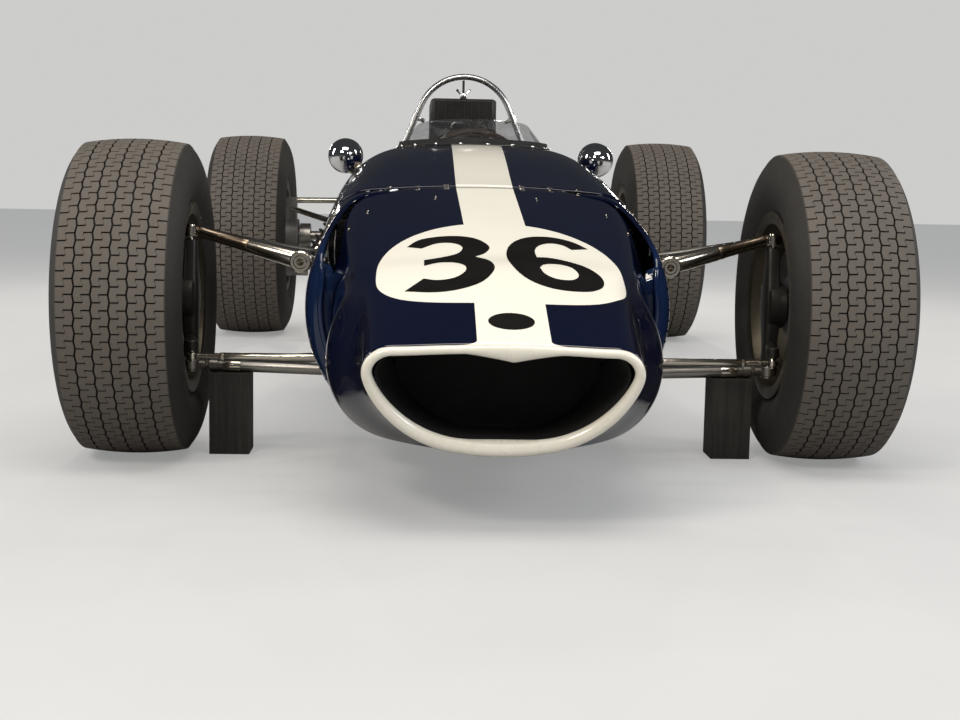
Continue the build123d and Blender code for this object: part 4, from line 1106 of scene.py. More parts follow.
def road_wheel(name, side, x, y, radius, rim, body, replaces):
    """Cast centre lock wheel with a lipped rim, a six hole web whose holes are matt black discs of painted
    shade, brake disc and three eared nut.
    """
    def on_axle(stock, profile, sides, closed=True):
        stock.turned([(side * along, r) for along, r in profile], (x, y, radius), (1, 0, 0), sides, closed)

    r, f = BEAD_SEAT_R, 212.0
    wheel = Stock()
    on_axle(wheel, [(-rim - 6.5, f - 1.5), (-rim - 4, f), (-rim - 1.5, f - 0.8), (-rim - 1, r + 5),
                    (-rim + 2, r), (-rim + 26, r - 1), (-rim + 34, r - 5), (-rim + 42, r - 12),
                    (rim - 58, r - 12), (rim - 50, r - 6), (rim - 40, r - 1), (rim - 2, r),
                    (rim + 1, r + 5), (rim + 1.5, f - 0.8), (rim + 4, f), (rim + 6.5, f - 1.5),
                    (rim + 7, r + 2), (rim + 4, r - 6), (rim - 36, r - 9), (rim - 54, r - 18),
                    (-rim + 46, r - 18), (-rim + 32, r - 9), (-rim - 3, r - 6), (-rim - 7, r + 2)], 120)
    web = [(20, 0.0), (20, 58), (16, 70), (20, 84), (22, 140), (18, 160), (14, 174), (34, 174), (34, 160),
           (33, 140), (33, 84), (40, 70), (44, 58), (44, 0.0)]
    rows = []
    for a in whole_turn(96):
        rows.append([(x + side * along, y + r * math.cos(a), radius + r * math.sin(a)) for along, r in web])
    wheel.grid(rows, close_along=True)
    boss = [(0, 30), (-1, 33), (3, 36), (24, 36), (28, 33), (27, 30), (24, 27.0), (12, 26), (3, 27)]
    hole = [(8, 0.0), (8, 27.5), (36, 27.5), (36, 0.0)]
    # The web's holes are not cut: matt black discs set in them are painted shade
    dark = Stock()
    for a in whole_turn(6):
        hole_y, hole_z = y + HOLE_CIRCLE * math.cos(a), radius + HOLE_CIRCLE * math.sin(a)
        wheel.turned([(side * along, r) for along, r in boss], (x + side * 10, hole_y, hole_z), (1, 0, 0),
                     36, True)
        dark.turned([(side * along, r) for along, r in hole], (x + side * 0.5, hole_y, hole_z), (1, 0, 0),
                    30)
    wheel.piece(name, body, "wheel_alloy", MAGNESIUM, 35, replaces)
    dark.piece(name + "_openings", body, "wheel_alloy", MATT, 35)
    hub = Stock()
    on_axle(hub, [(-62, 25), (-62, 40), (-40, 44), (10, 44), (20, 60), (24, 60), (26, 44), (52, 40),
                  (56, 26), (56, 20.2), (-62, 20.2)], 48)
    for ear in whole_turn(3):
        turn = Matrix.Translation((x, y, radius)) @ Matrix.Rotation(ear + 0.3, 4, "X")
        hub.slab((side * 44, -11, 30), (side * 58, 11, 76), 4, turn)
    on_axle(hub, [(44, 0), (44, 36), (47, 40), (58, 40), (62, 34), (64, 24), (64, 0)], 40, False)
    for turn in whole_turn(6):
        a = turn + math.pi / 6
        spot = (x + side * 44, y + BOLT_CIRCLE * math.cos(a), radius + BOLT_CIRCLE * math.sin(a))
        hub.hexagon(spot, (side, 0, 0), 9, 6)
    hub.piece(name + "_hub", body, "wheel_alloy", SPUN, 35)
    disc = Stock()
    on_axle(disc, [(-72, 60), (-72, 130), (-68.5, 130), (-68.5, 122), (-63.5, 122), (-63.5, 130),
                   (-60, 130), (-60, 60)], 96)
    on_axle(disc, [(-66, 40), (-70, 52), (-74, 66), (-70, 68), (-62, 66), (-58, 52), (-56, 40)], 60)
    disc.piece(name + "_disc", body, "wheel_alloy", STEEL, 35)


def road_wheels():
    """All four: middle plane, axle, outer radius, and half widths of tyre, tread and rim for each end."""
    table = (("front", 762.0, FRONT_AXLE, FRONT_TYRE_R, 132.5, 107.0, 112.0),
             ("rear", 774.5, REAR_AXLE, REAR_TYRE_R, 145.0, 118.0, 124.0))
    for end, x, y, radius, half, tread, rim in table:
        for word, side in SIDES:
            body = end + "_road_wheel_" + word
            tyre(end + "_tyre_cover_" + word, side, side * x, y, radius, half, tread, rim, body,
                 [end + "_tyre_" + word])
            road_wheel(end + "_rim_" + word, side, side * x, y, radius, rim, body, [end + "_wheel_" + word])


# Front suspension
KINGPIN_X, ARM_X, ARM_Y, TIE_Z = 650.0, 632.0, FRONT_AXLE - 112, 229.0
UPPER_Z, LOWER_Z = 493.0, 196.0


def between(a, b, share):
    """The point at a share of the way from a to b."""
    return tuple(p + (q - p) * share for p, q in zip(a, b))


def rod_along(stock, a, b, spec, sides=24):
    """A straight rod whose radius changes along it: pairs of share and radius."""
    stock.tube([between(a, b, t) for t, r in spec], [r for t, r in spec], sides)


def rod_end(stock, centre, axis, radius, wide, bore):
    """A spherical joint end: a ring with its ball."""
    axis = Vector(axis).normalized()
    ring = [(-wide / 2, radius - 1.5), (-wide / 2 + 1.5, radius), (wide / 2 - 1.5, radius),
            (wide / 2, radius - 1.5), (wide / 2, bore + 3.5), (-wide / 2, bore + 3.5)]
    stock.turned(ring, centre, axis, 32, closed=True)
    half = wide * 0.62
    swell = [(-half, bore + 0.2), (-half, bore + 1.2), (-half * 0.5, bore + 2.9), (0, bore + 3.4),
             (half * 0.5, bore + 2.9), (half, bore + 1.2), (half, bore + 0.2)]
    stock.turned(swell, centre, axis, 32, closed=True)


def threaded(stock, a, b, radius):
    """A rod with a screw thread, drawn as rings."""
    pitch, deep = 2.2, 0.9
    length = (Vector(b) - Vector(a)).length
    turns = max(int(length / pitch), 2)
    spec = []
    for i in range(turns * 2 + 1):
        spec.append((i / (turns * 2.0), radius - (deep if i % 2 else 0.0)))
    rod_along(stock, a, b, spec, 16)


def front_arms(word, side):
    """Upper rocker with its stay, lower wishbone and tie rod, with their sleeves, threads and ball ends."""
    def p(x, y, z):
        return (side * x, y, z)

    upper = Stock()
    inner, outer = p(395, FRONT_AXLE - 60, 434), p(KINGPIN_X - 14, FRONT_AXLE, UPPER_Z)
    rod_along(upper, inner, outer, [(0.02, 19), (0.06, 21.5), (0.12, 21), (0.50, 16.9), (0.52, 15.4)], 36)
    sleeve = Stock()
    rod_along(sleeve, inner, outer, [(0.50, 15.2), (0.515, 16.2), (0.56, 16.2), (0.575, 15.2), (0.90, 13.2),
                                     (0.93, 14.6), (0.96, 14.6), (0.97, 11.5), (1.0, 10)], 36)
    sleeve.piece("upper_arm_sleeve_" + word, "chassis", "plated_steel", BROWNED, 35)
    ring = [(-46, 15), (-46, 21), (-44, 23.5), (-36, 24), (34, 24), (44, 23), (46, 21), (46, 15)]
    upper.turned(ring, p(401, FRONT_AXLE - 60, 434), (0, 1, 0), 44, closed=True)
    upper.turned([(-48, 8), (-48, 13), (-44, 13.5), (-44, 8)], p(401, FRONT_AXLE - 60, 434), (0, 1, 0), 30,
                 closed=True)
    rod_end(upper, p(KINGPIN_X, FRONT_AXLE, UPPER_Z), (0, 0, 1), 19.5, 22, 8.2)
    upper.piece("upper_arm_" + word, "chassis", "plated_steel", NICKEL, 35, ["upper_rocker_" + word])
    rear = Stock()
    rod_along(rear, p(381, FRONT_AXLE + 150, 440), p(KINGPIN_X - 16, FRONT_AXLE + 6, UPPER_Z - 2),
              [(0, 8.5), (0.1, 9.5), (0.14, 8), (0.86, 8), (0.9, 9.5), (1, 8.5)])
    rear.piece("upper_arm_stay_" + word, "chassis", "plated_steel", STEEL, 35)

    lower = Stock()
    a, b = p(352, FRONT_AXLE - 18, 190), p(KINGPIN_X - 14, FRONT_AXLE, LOWER_Z)
    rod_along(lower, a, b, [(0, 13), (0.78, 13), (0.80, 12), (0.83, 12), (0.835, 14), (0.90, 14),
                            (0.905, 10), (1, 10)], 30)
    a2, b2 = p(352, FRONT_AXLE + 208, 190), p(KINGPIN_X - 16, FRONT_AXLE + 8, LOWER_Z)
    rod_along(lower, a2, b2, [(0, 12), (0.84, 12), (0.86, 13), (0.93, 13), (0.94, 9.5), (1, 9.5)], 26)
    rod_end(lower, p(KINGPIN_X, FRONT_AXLE, LOWER_Z), (0, 0, 1), 19.5, 22, 8.2)
    lower.piece("lower_arm_" + word, "chassis", "plated_steel", STEEL, 35, ["lower_wishbone_" + word])
    bright = Stock()
    rod_along(bright, between(a, b, 0.66), between(a, b, 0.79), [(0, 13.2), (0.04, 13.8), (0.96, 13.8),
                                                                 (1, 13.2)], 30)
    bright.hexagon(between(a, b, 0.905), tuple(Vector(b) - Vector(a)), 25, 9, 9.9)
    bright.piece("lower_arm_sleeve_" + word, "chassis", "plated_steel", NICKEL, 35)

    tie = Stock()
    start, end = p(338, ARM_Y, TIE_Z), p(ARM_X - 12, ARM_Y, TIE_Z)
    rod_along(tie, start, end, [(0, 7.8), (0.80, 7.8), (0.81, 6.2), (1.0, 6.2)], 26)
    threaded(tie, between(start, end, 0.84), between(start, end, 0.95), 6.9)
    tie.hexagon(between(start, end, 0.80), tuple(Vector(end) - Vector(start)), 15, 9, 6.0)
    rod_end(tie, p(ARM_X, ARM_Y, TIE_Z), (0, 0, 1), 13, 13, 6.2)
    tie.piece("tie_bar_" + word, "track_rod_" + word, "plated_steel", NICKEL, 35, ["tie_rod_" + word])


def front_knuckle(word, side):
    """Cast upright: waisted post with a round hub boss, steering arm, and a brake caliper on the disc."""
    post = Stock()
    rows = []
    for z, hx, hy in ((LOWER_Z + 18, 15, 15), (LOWER_Z + 26, 17, 18), (260, 16, 21), (300, 18, 30),
                      (FRONT_TYRE_R, 20, 36), (392, 18, 30), (432, 15, 20), (UPPER_Z - 26, 15, 17),
                      (UPPER_Z - 18, 14, 14)):
        rows.append([Vector((side * KINGPIN_X + hx * math.copysign(abs(math.cos(t)) ** 0.55, math.cos(t)),
                             FRONT_AXLE + hy * math.copysign(abs(math.sin(t)) ** 0.55, math.sin(t)), z))
                     for t in whole_turn(28)])
    post.grid(rows, close_across=True, caps=True)
    post.turned([(side * a, b) for a, b in ((-12, 0), (-12, 44), (-8, 50), (20, 52), (26, 50), (30, 42),
                                            (36, 24), (96, 20), (112, 20), (112, 0))],
                (side * KINGPIN_X, FRONT_AXLE, FRONT_TYRE_R), (1, 0, 0), 40)
    rod_along(post, (side * KINGPIN_X, FRONT_AXLE - 16, 254), (side * ARM_X, ARM_Y, 252),
              [(0, 13), (0.5, 10), (0.9, 10), (1.0, 11)], 20)
    post.turned([(0, 6), (0, 13), (2, 14), (20, 14), (22, 12), (22, 0)], (side * ARM_X, ARM_Y, 241),
                (0, 0, 1), 28)
    post.piece("front_knuckle_post_" + word, "front_knuckle_" + word, "cast_alloy", DARK_CAST, 35,
               ["front_upright_" + word])
    pins = Stock()
    pins.turned([(0, 0), (0, 6), (1, 7.6), (313, 7.6), (317, 6), (317, 0)],
                (side * KINGPIN_X, FRONT_AXLE, LOWER_Z - 14), (0, 0, 1), 24)
    for z, way in ((LOWER_Z - 14, -1), (UPPER_Z + 13, 1)):
        pins.hexagon((side * KINGPIN_X, FRONT_AXLE, z), (0, 0, way), 15, 2.0)
    pins.turned([(0, 0), (0, 5.9), (34, 5.9), (35, 5), (35, 0)], (side * ARM_X, ARM_Y, TIE_Z - 12),
                (0, 0, 1), 20)
    pins.hexagon((side * ARM_X, ARM_Y, TIE_Z - 12), (0, 0, -1), 10, 1.0)
    pins.piece("front_knuckle_pins_" + word, "front_knuckle_" + word, "plated_steel", NICKEL, 35)
    brake = Stock()
    blocks = ((661, 675, 14, 150, 318, 374, 4), (667, 683, 97, 157, 309, 383, 6),
              (709, 725, 97, 157, 309, 383, 6), (680, 712, 139, 157, 309, 383, 4))
    for x0, x1, behind, to, z0, z1, bevel in blocks:
        brake.slab((side * x0, FRONT_AXLE + behind, z0), (side * x1, FRONT_AXLE + to, z1), bevel)
    for z in (328, 364):
        brake.turned([(0, 17), (4, 17), (6, 14), (6, 0)], (side * 667, FRONT_AXLE + 122, z), (-side, 0, 0),
                     26)
    for z in (316, 346, 376):
        brake.hexagon((side * 667, FRONT_AXLE + 148, z), (-side, 0, 0), 9, 5)
    brake.piece("front_caliper_" + word, "front_knuckle_" + word, "cast_alloy", CAST, 35)


def hoop():
    """Bright tube hoop behind the cockpit: leaning legs, round crown, foot plates and small clamps."""
    y, foot_x, foot_z, crown_r, crown_z = 470.0, 241.0, 603, 152.1, 780.9
    bend = [math.radians(-67 + 134 * k / 40) for k in range(41)]
    crown = [(crown_r * math.sin(a), y, crown_z + crown_r * math.cos(a)) for a in bend]
    stock = Stock()
    stock.tube([(-foot_x - 0.2, y, foot_z - 0.5)] + crown + [(foot_x + 0.2, y, foot_z - 0.5)], 9.5, 28)
    for s in (-1, 1):
        stock.slab((s * foot_x - 25, y - 25, foot_z - 5), (s * foot_x + 25, y + 25, foot_z), 1.5)
        for q in (-17, 17):
            for r in (-16, 16):
                stock.hexagon((s * foot_x + q, y + r, foot_z), (0, 0, 1), 9, 5)
        tilt = Matrix.Translation((s * 156, y, 802)) @ Matrix.Rotation(-s * 0.402, 4, "Y")
        axis = tilt.to_3x3() @ Vector((0, 0, 1))
        stock.turned([(-9, 9.3), (-9, 12.6), (9, 12.6), (9, 9.3)], tilt.to_translation(), axis, 28,
                     closed=True)
        stock.slab((-s * 20 - 8, -5, -7), (-s * 20 + 10, 5, 7), 1.5, tilt)
        stock.hexagon(tilt @ Vector((-s * 20, -5, 0)), (0, -1, 0), 8, 4)
    stock.piece("roll_hoop_tube", "chassis", "chromed_steel", SPUN, 35, ["roll_hoop"])


def smooth_line(points, cuts):
    """A smooth line through points of any size, by short cubic runs."""
    line = [Vector((*p, 0)) if len(p) == 2 else Vector(p) for p in points]
    out = []
    for i in range(len(line) - 1):
        a, b = line[i], line[i + 1]
        before = line[i - 1] if i else a * 2 - b
        after = line[i + 2] if i + 2 < len(line) else b * 2 - a
        for k in range(cuts):
            t = k / cuts
            out.append(0.5 * ((2 * a) + (b - before) * t + (2 * before - 5 * a + 4 * b - after) * t * t
                              + (3 * a - before - 3 * b + after) * t**3))
    out.append(line[-1])
    return [tuple(p)[: len(points[0])] for p in out]


# Windscreen: plan outlines at two heights, cut to the scuttle below and to a falling line above
SCREEN_LOW, SCREEN_HIGH = (560.0, 292.0, -720.0, -400.0), (780.0, 136.0, -386.0, -250.0)
SCREEN_TOP_LINE = [(-700, 771), (-400, 771), (-330, 764), (-271, 753), (-200, 721), (-100, 663)]


def screen_point(w, z):
    """A point of the sheet: w runs from -1 to 1 round its bow, and beyond that along its straight sides."""
    t = (z - SCREEN_LOW[0]) / (SCREEN_HIGH[0] - SCREEN_LOW[0])
    half, front, turn = [a + (b - a) * t for a, b in zip(SCREEN_LOW[1:], SCREEN_HIGH[1:])]
    if abs(w) <= 1:
        spots = arc((-half, turn), (0, front), (half, turn), 64)
        s = (w + 1) * 32
        k = min(int(s), 63)
        f = s - k
        x, y = [spots[k][i] * (1 - f) + spots[k + 1][i] * f for i in range(2)]
        return Vector((x, y, z))
    return Vector((math.copysign(half, w), turn + (abs(w) - 1) * 260.0, z))


def windscreen():
    """Clear sheet from the scuttle to its falling top line, with its dark foot strip and screws."""
    def over_scuttle(p):
        return p.z > TUB.height(p.x, p.y) + 1.0

    def over_top(p):
        return p.z >= along_line(SCREEN_TOP_LINE, p.y)

    def crossing(w, low, passed):
        """The height, between low and the sheet's top, at which the sheet first passes a surface."""
        high = SCREEN_HIGH[0] - 1.0
        for step in range(14):
            middle = (low + high) / 2
            if passed(screen_point(w, middle)):
                high = middle
            else:
                low = middle
        return low, high

    rows = []
    for i in range(-66, 67):
        w = i / 33.0 * 0.79
        foot = crossing(w, 590.0, over_scuttle)[1]
        top = crossing(w, foot, over_top)[0]
        if top - foot >= 3:
            rows.append([screen_point(w, foot + (top - foot) * j / 14.0) for j in range(15)])
    Stock().grid(rows).piece("screen_sheet", "chassis", "clear_screen", SHEET, 50, ["windscreen"], 3.0)
    feet = [row[0] for row in rows]
    ahead, behind = feet[0] - feet[2], feet[-1] - feet[-3]
    before = [feet[0] + ahead * (k * 2.0) for k in (4, 3, 2, 1)]
    after = [feet[-1] + behind * (k * 2.0) for k in (1, 2, 3, 4)]
    feet = before + feet + after
    band = []
    for p in feet:
        out = Vector((p.x, p.y + 200, 0)).normalized()
        base = Vector((p.x, p.y, TUB.height(p.x, p.y) + 0.3)) if abs(p.x) < 300 else p
        section = ((3.4, 0), (13, 0), (13, 1.4), (5.6, 3), (4.6, 15), (3.4, 15))
        band.append([base + out * away + Vector((0, 0, up)) for away, up in section])
    strip = Stock().grid(band, close_across=True, caps=True)
    strip.piece("screen_foot_strip", "chassis", "black_panel", MATT, 35)
    screws = Fixings("screen_screws", screw=(16, [(0, 0.5), (0, 5.6), (1.6, 5.2), (3.0, 3.0), (2.4, 0)]))
    for p in feet[2::len(feet) // 15]:
        out = Vector((p.x, p.y + 200, 0)).normalized()
        screws.stand("screw", Vector((p.x, p.y, TUB.height(p.x, p.y) + 1.6)) + out * 9, (0, 0, 1))
    screws.piece("chassis", "chromed_steel", CHROME)


def steering_wheel():
    """Dished wheel: leather bound rim with stitches, three drilled spokes, boss and column."""
    tilt = math.radians(90 + 23.4)
    place = Matrix.Translation((0, -340, 608)) @ Matrix.Rotation(tilt, 4, "X")
    rim = Stock()
    ring = [place @ Vector((139 * math.cos(a), 139 * math.sin(a), 0)) for a in whole_turn(96)]
    rim.tube(ring, 11.2, 20, closed=True)
    rim.piece("steering_rim", "steering_control", "wheel_leather", LEATHER, 60, ["steering_wheel"])
    spokes = Stock()
    for n in range(3):
        turn = place @ Matrix.Rotation(math.radians(-90 + 120 * n), 4, "Z")
        outline = [(24, -17), (60, -13), (131, -11), (131, 11), (60, 13), (24, 17)]
        spokes.sheet(outline, 4, turn @ Matrix.Translation((0, 0, -2)))
        for k, hole in enumerate((52, 76, 98, 118)):
            spokes.turned([(-0.6, 7 - k), (-0.6, 8.4 - k), (4.6, 8.4 - k), (4.6, 7 - k)],
                          turn @ Vector((hole, 0, -2)), (turn.to_3x3() @ Vector((0, 0, 1))), 24,
                          closed=True)
    axis = place.to_3x3() @ Vector((0, 0, 1))
    spokes.turned([(-6, 0), (-6, 26), (-3, 30), (3, 30), (5, 24), (24, 18), (30, 12), (30, 0)],
                  place.to_translation(), axis, 40)
    for a in whole_turn(6):
        spokes.hexagon(place @ Vector((22 * math.cos(a), 22 * math.sin(a), -5)), -axis, 7, 3.5)
    spokes.piece("steering_spokes", "steering_control", "bright_alloy", SPUN, 35)
    column = Stock()
    column.tube([place @ Vector((0, 0, 28)), place @ Vector((0, 0, 836))], 9.9, 24)
    column.piece("steering_column", "steering_control", "black_steel", BLACK, 35)


def mirrors():
    """Round chromed pods on ribbed stalks that are screwed to the scuttle."""
    for word, side in SIDES:
        centre = Vector((side * 352, -190, 670))
        shell = Stock()
        profile = [(-62, 0), (-61, 10), (-57, 20), (-49, 30), (-38, 38.5), (-24, 44), (-8, 46.5),
                   (10, 47.5), (26, 47.5), (30, 49), (34, 49), (35, 46), (33, 44.5), (26, 44), (24, 0)]
        shell.turned(profile, centre, (0, 1, 0), 64)
        shell.piece("mirror_pod_" + word, "chassis", "chromed_steel", CHROME, 40, ["mirror_" + word])
        stalk = Stock()
        foot = Vector((side * 312, -196, TUB.height(312, -196)))
        stalk.tube([centre + Vector((-side * 10, -6, -40)), centre + Vector((-side * 24, -6, -50)), foot],
                   6.5, 20)
        place = Matrix.Translation(foot) @ Matrix.Rotation(side * 0.62, 4, "Y")
        stalk.slab((-13, -30, -2), (13, 30, 4), 2, place)
        stalk.slab((-10, -12, 3), (10, 12, 15), 2.5, place)
        for k in range(4):
            ring = foot.lerp(centre + Vector((-side * 24, -6, -50)), 0.30 + 0.16 * k)
            stalk.turned([(-1.6, 6.3), (-1.6, 9.4), (1.6, 9.4), (1.6, 6.3)], ring, centre - foot, 24,
                         closed=True)
        for q in (-21, 21):
            stalk.turned([(0, 0.5), (0, 5.5), (3, 5), (4.5, 0)], place @ Vector((0, q, 4)),
                         place.to_3x3() @ Vector((0, 0, 1)), 16)
        stalk.piece("mirror_stalk_" + word, "chassis", "chromed_steel", NICKEL, 35)


def mouth_duct():
    """Duct from the lip back to the radiator, near-black and rough as painted shade inside the mouth."""
    rows = []
    for share in (step / 8.0 for step in range(9)):
        line = []
        for k in range(CONE.columns):
            a = Vector(CONE.dense[0, k])
            centre = Vector((0, a.y, MOUTH_Z))
            near = centre + (a - centre) * 0.90
            near.y = a.y + 14
            far = Vector((a.x * 0.80, -1702, 168 + (a.z - 146) * 0.98))
            line.append(near.lerp(far, share))
        rows.append(line)
    stock = Stock().grid(rows).mirrored()
    stock.piece("intake_duct", "chassis", "black_panel", DUCT_PAINTED_SHADE, 40, (), 1.5, flip=True)


def rounded(x0, x1, z0, z1, radius):
    """Outline points of a rectangle with round corners."""
    count = 6
    line = []
    for cx, cz, start in ((x1 - radius, z1 - radius, 0), (x0 + radius, z1 - radius, 90),
                          (x0 + radius, z0 + radius, 180), (x1 - radius, z0 + radius, 270)):
        for k in range(count + 1):
            a = math.radians(start + 90.0 * k / count)
            line.append((cx + radius * math.cos(a), cz + radius * math.sin(a)))
    return line


def pontoon_section(y):
    """Middle (x, z) and half sizes of a side box at a station."""
    t = (y - 540) / 545.0
    return 199 - 24 * t, 208 - 16 * t, 71 - 24 * t, 91 - 18 * t


def pontoons():
    """The tub's side boxes run back beside the engine, with rivets along them and across their ends."""
    shell = Stock()
    rivets = Fixings("pontoon_rivets", rivet=RIVET)
    end = 1085
    stations = [(y, 0.0) for y in (538.5, *range(560, 1080, 40), end - 4)] + [(end - 1, 0.8), (end, 3.0)]
    for s in (-1, 1):
        rows = []
        for y, less in stations:
            cx, cz, wide, high = pontoon_section(y)
            line = rounded(cx - wide + less, cx + wide - less, cz - high + less, cz + high - less, 14.0)
            rows.append([(s * x, y, z) for x, z in line])
        shell.grid(rows, close_across=True, caps=True)
        for y in range(560, 1075, 24):
            cx, cz, wide, high = pontoon_section(y)
            for z in (cz - high + 20, cz + high - 20):
                rivets.stand("rivet", (s * (cx + wide), y, z), (s, 0, 0))
            rivets.stand("rivet", (s * (cx + wide - 20), y, cz + high), (0, 0, 1))
        for x in (142, 160, 178, 196, 210):
            for z in (131, 253):
                rivets.stand("rivet", (s * x, end, z), (0, 1, 0))
    shell.piece("side_pontoons", "chassis", "body_paint", PLAIN_PAINT, 40, ["monocoque_tub"])
    rivets.piece("chassis", "bright_alloy", BODY_RIVET)


def gauze_cover():
    """Woven wires, sheet borders and screws over the intake cover, and the wing nut on its stud."""
    wires = Fixings("gauze_wires", wire=(5, [(0, 0.9), (1, 0.9)]))
    border = Stock()
    left, right, near, far, low, high = -107.0, 107.0, 590.0, 1070.0, 700.0, 868.0
    foot_z, stud_y, screw_z = low + 12, 615, 708
    lift = 0.5
    over = lift * 1.4
    head = [(1.4, 3.8), (2.4, 3.4), (3.2, 1.8), (2.8, 0)]

    def wire(a, b):
        way = Vector(b) - Vector(a)
        wires.stand("wire", a, way, way.length)

    for k in range(1, 27):
        x = left + (right - left) * k / 27.0
        if abs(x) < 99:
            wire((x, near + 12, high + lift), (x, far - 12, high + lift))
        for y, out in ((near, -lift), (far, lift)):
            wire((x, y + out, foot_z), (x, y + out, high - 9))
    for k in range(1, 60):
        y = near + (far - near) * k / 60.0
        wire((left + 9, y, high + over), (right - 9, y, high + over))
        for x, out in ((left, -lift), (right, lift)):
            wire((x + out, y, foot_z), (x + out, y, high - 9))
    for k in range(1, 21):
        z = low + (high - low) * k / 21.0
        for x, out in ((left, -over), (right, over)):
            wire((x + out, near + 9, z), (x + out, far - 9, z))
        for y, out in ((near, -over), (far, over)):
            wire((left + 9, y + out, z), (right - 9, y + out, z))
    wires.piece("chassis", "black_steel", BLACK, 60)
    for x0, x1 in ((left - 1.6, left - 0.2), (right + 0.2, right + 1.6)):
        border.slab((x0, near - 1.6, low), (x1, far + 1.6, low + 16), 0.5)
        for y in (near - 1.6, far - 12):
            border.slab((x0, y, low + 14), (x1, y + 13.6, high - 6), 0.5)
    for y0, y1 in ((near - 1.6, near - 0.2), (far + 0.2, far + 1.6)):
        border.slab((left - 1.4, y0, low), (right + 1.4, y1, low + 16), 0.5)
        for x in (left - 1.4, right - 12):
            border.slab((x, y0, low + 14), (x + 13.4, y1, high - 6), 0.5)
    for s in (-1, 1):
        for y in range(612, 1060, 64):
            border.turned(head, (s * right, y, screw_z), (s, 0, 0), 12)
    for x in (-72, 0, 72):
        for y, way in ((near, -1), (far, 1)):
            border.turned(head, (x, y, screw_z), (0, way, 0), 12)
    border.piece("gauze_border", "chassis", "black_steel", BLACK, 35)
    nut = Stock()
    nut.turned([(7.2, 4.1), (7.2, 8.5), (10, 9), (20, 6.5), (21, 4.1)], (0, stud_y, high), (0, 0, 1), 24,
               closed=True)
    for s in (-1, 1):
        nut.tube([(s * 5, stud_y, high + 14), (s * 13, stud_y, high + 20), (s * 20, stud_y, high + 29)],
                 2.6, 10)
        nut.tube([(s * 20, stud_y - 2, high + 29), (s * 20, stud_y + 2, high + 29)], 4.5, 14)
    nut.piece("cover_wing_nut", "chassis", "chromed_steel", CHROME, 35)


def gearbox_dress():
    """Ribs, side cover plates and end flanges of the gearbox, with their bolts."""
    ribs = Stock()
    bolts = Fixings("gearbox_bolts", bolt=BOLT, low_bolt=LOW_BOLT)
    flange_z, back = 375, 1745.5
    for s in (-1, 1):
        for y in range(1262, 1460, 33):
            ribs.slab((s * 99, y - 3, 290), (s * 105, y + 3, 462), 1.5)
        ribs.turned([(0, 0), (0, 74), (5, 74), (9, 70), (9, 0)], (s * 99.5, REAR_AXLE, flange_z), (s, 0, 0),
                    56)
        for a in whole_turn(10):
            bolts.stand("bolt", (s * 108.5, REAR_AXLE + 64 * math.cos(a), flange_z + 64 * math.sin(a)),
                        (s, 0, 0))
        for y in range(1520, 1740, 40):
            ribs.slab((s * 79, y - 2.5, 290), (s * 84, y + 2.5, 430), 1.2)
    ribs.slab((-86, 1480, 256), (86, 1494, 466), 4)
    ribs.slab((-84, 1732, 262), (84, back, 458), 4)
    rim = [(x, z) for x in (-70, -24, 24, 70) for z in (272, 446)]
    rim += [(x, z) for x in (-74, 74) for z in (316, 360, 404)]
    for x, z in rim:
        bolts.stand("low_bolt", (x, back, z), (0, 1, 0))
    for y in (1250, 1300, 1350, 1400, 1450):
        for x in (-80, 80):
            bolts.stand("bolt", (x, y, 500), (0, 0, 1))
    ribs.piece("gearbox_ribs", "chassis", "cast_alloy", DARK_CAST, 35)
    bolts.piece("chassis", "plated_steel", STEEL)


def tub_rivets():
    """Rows of rivets along the tub's seams, and screws round the nose panel and the cockpit surround."""
    rows = Fixings("tub_rivets", rivet=RIVET)
    for s in (-1, 1):
        for y in range(-990, 530, 27):
            for level in (low_edge(y) - 14, 190.0):
                column = TUB.column_at(y, level, 2)
                p = TUB.point(column, y)
                across = TUB.point(column + 0.5, y) - TUB.point(column - 0.5, y)
                rows.stand("rivet", (s * p.x, p.y, p.z), (s * across.z, 0, -across.x))
        for z in range(200, 400, 22):
            p = TUB.point(TUB.column_at(-1318, z, 2), -1318)
            rows.stand("rivet", (s * p.x, p.y, p.z), (s, 0, 0.05))
    rows.piece("chassis", "bright_alloy", BODY_RIVET)
    screws = Fixings("panel_screws", seam=(16, [(-0.3, 5.5), (0.8, 5.2), (1.4, 3.6), (1.0, 1.2), (1.0, 0)]),
                     nose=(16, [(-0.3, 5.0), (0.8, 4.7), (1.4, 3.2), (1.0, 0)]),
                     surround=(16, [(-0.3, 4.6), (0.7, 4.3), (1.2, 2.8), (0.9, 0)]))
    for x in (-215, -150, -85, 85, 150, 215):
        for skin, y in ((CONE, -1036), (TUB, -1006)):
            screws.stand("seam", (x, y, skin.height(x, y)), (x * 0.0006, -0.18, 1))
    for s in (-1, 1):
        for y in (-1270, -1190, -1110):
            for skin, lift in ((TUB, -15), (CONE, 16)):
                p = skin.point(skin.column_at(y, along_line(PANEL_LINE, y) + lift, 2), y)
                screws.stand("nose", (s * p.x, p.y, p.z), (s * 0.85, 0, 0.5))
        for y in range(-440, 420, 70):
            half = opening_half(y) + 13
            screws.stand("surround", (s * half, y, TUB.height(half, y)), (s * 0.2, 0, 1))
    screws.piece("chassis", "chromed_steel", NICKEL)


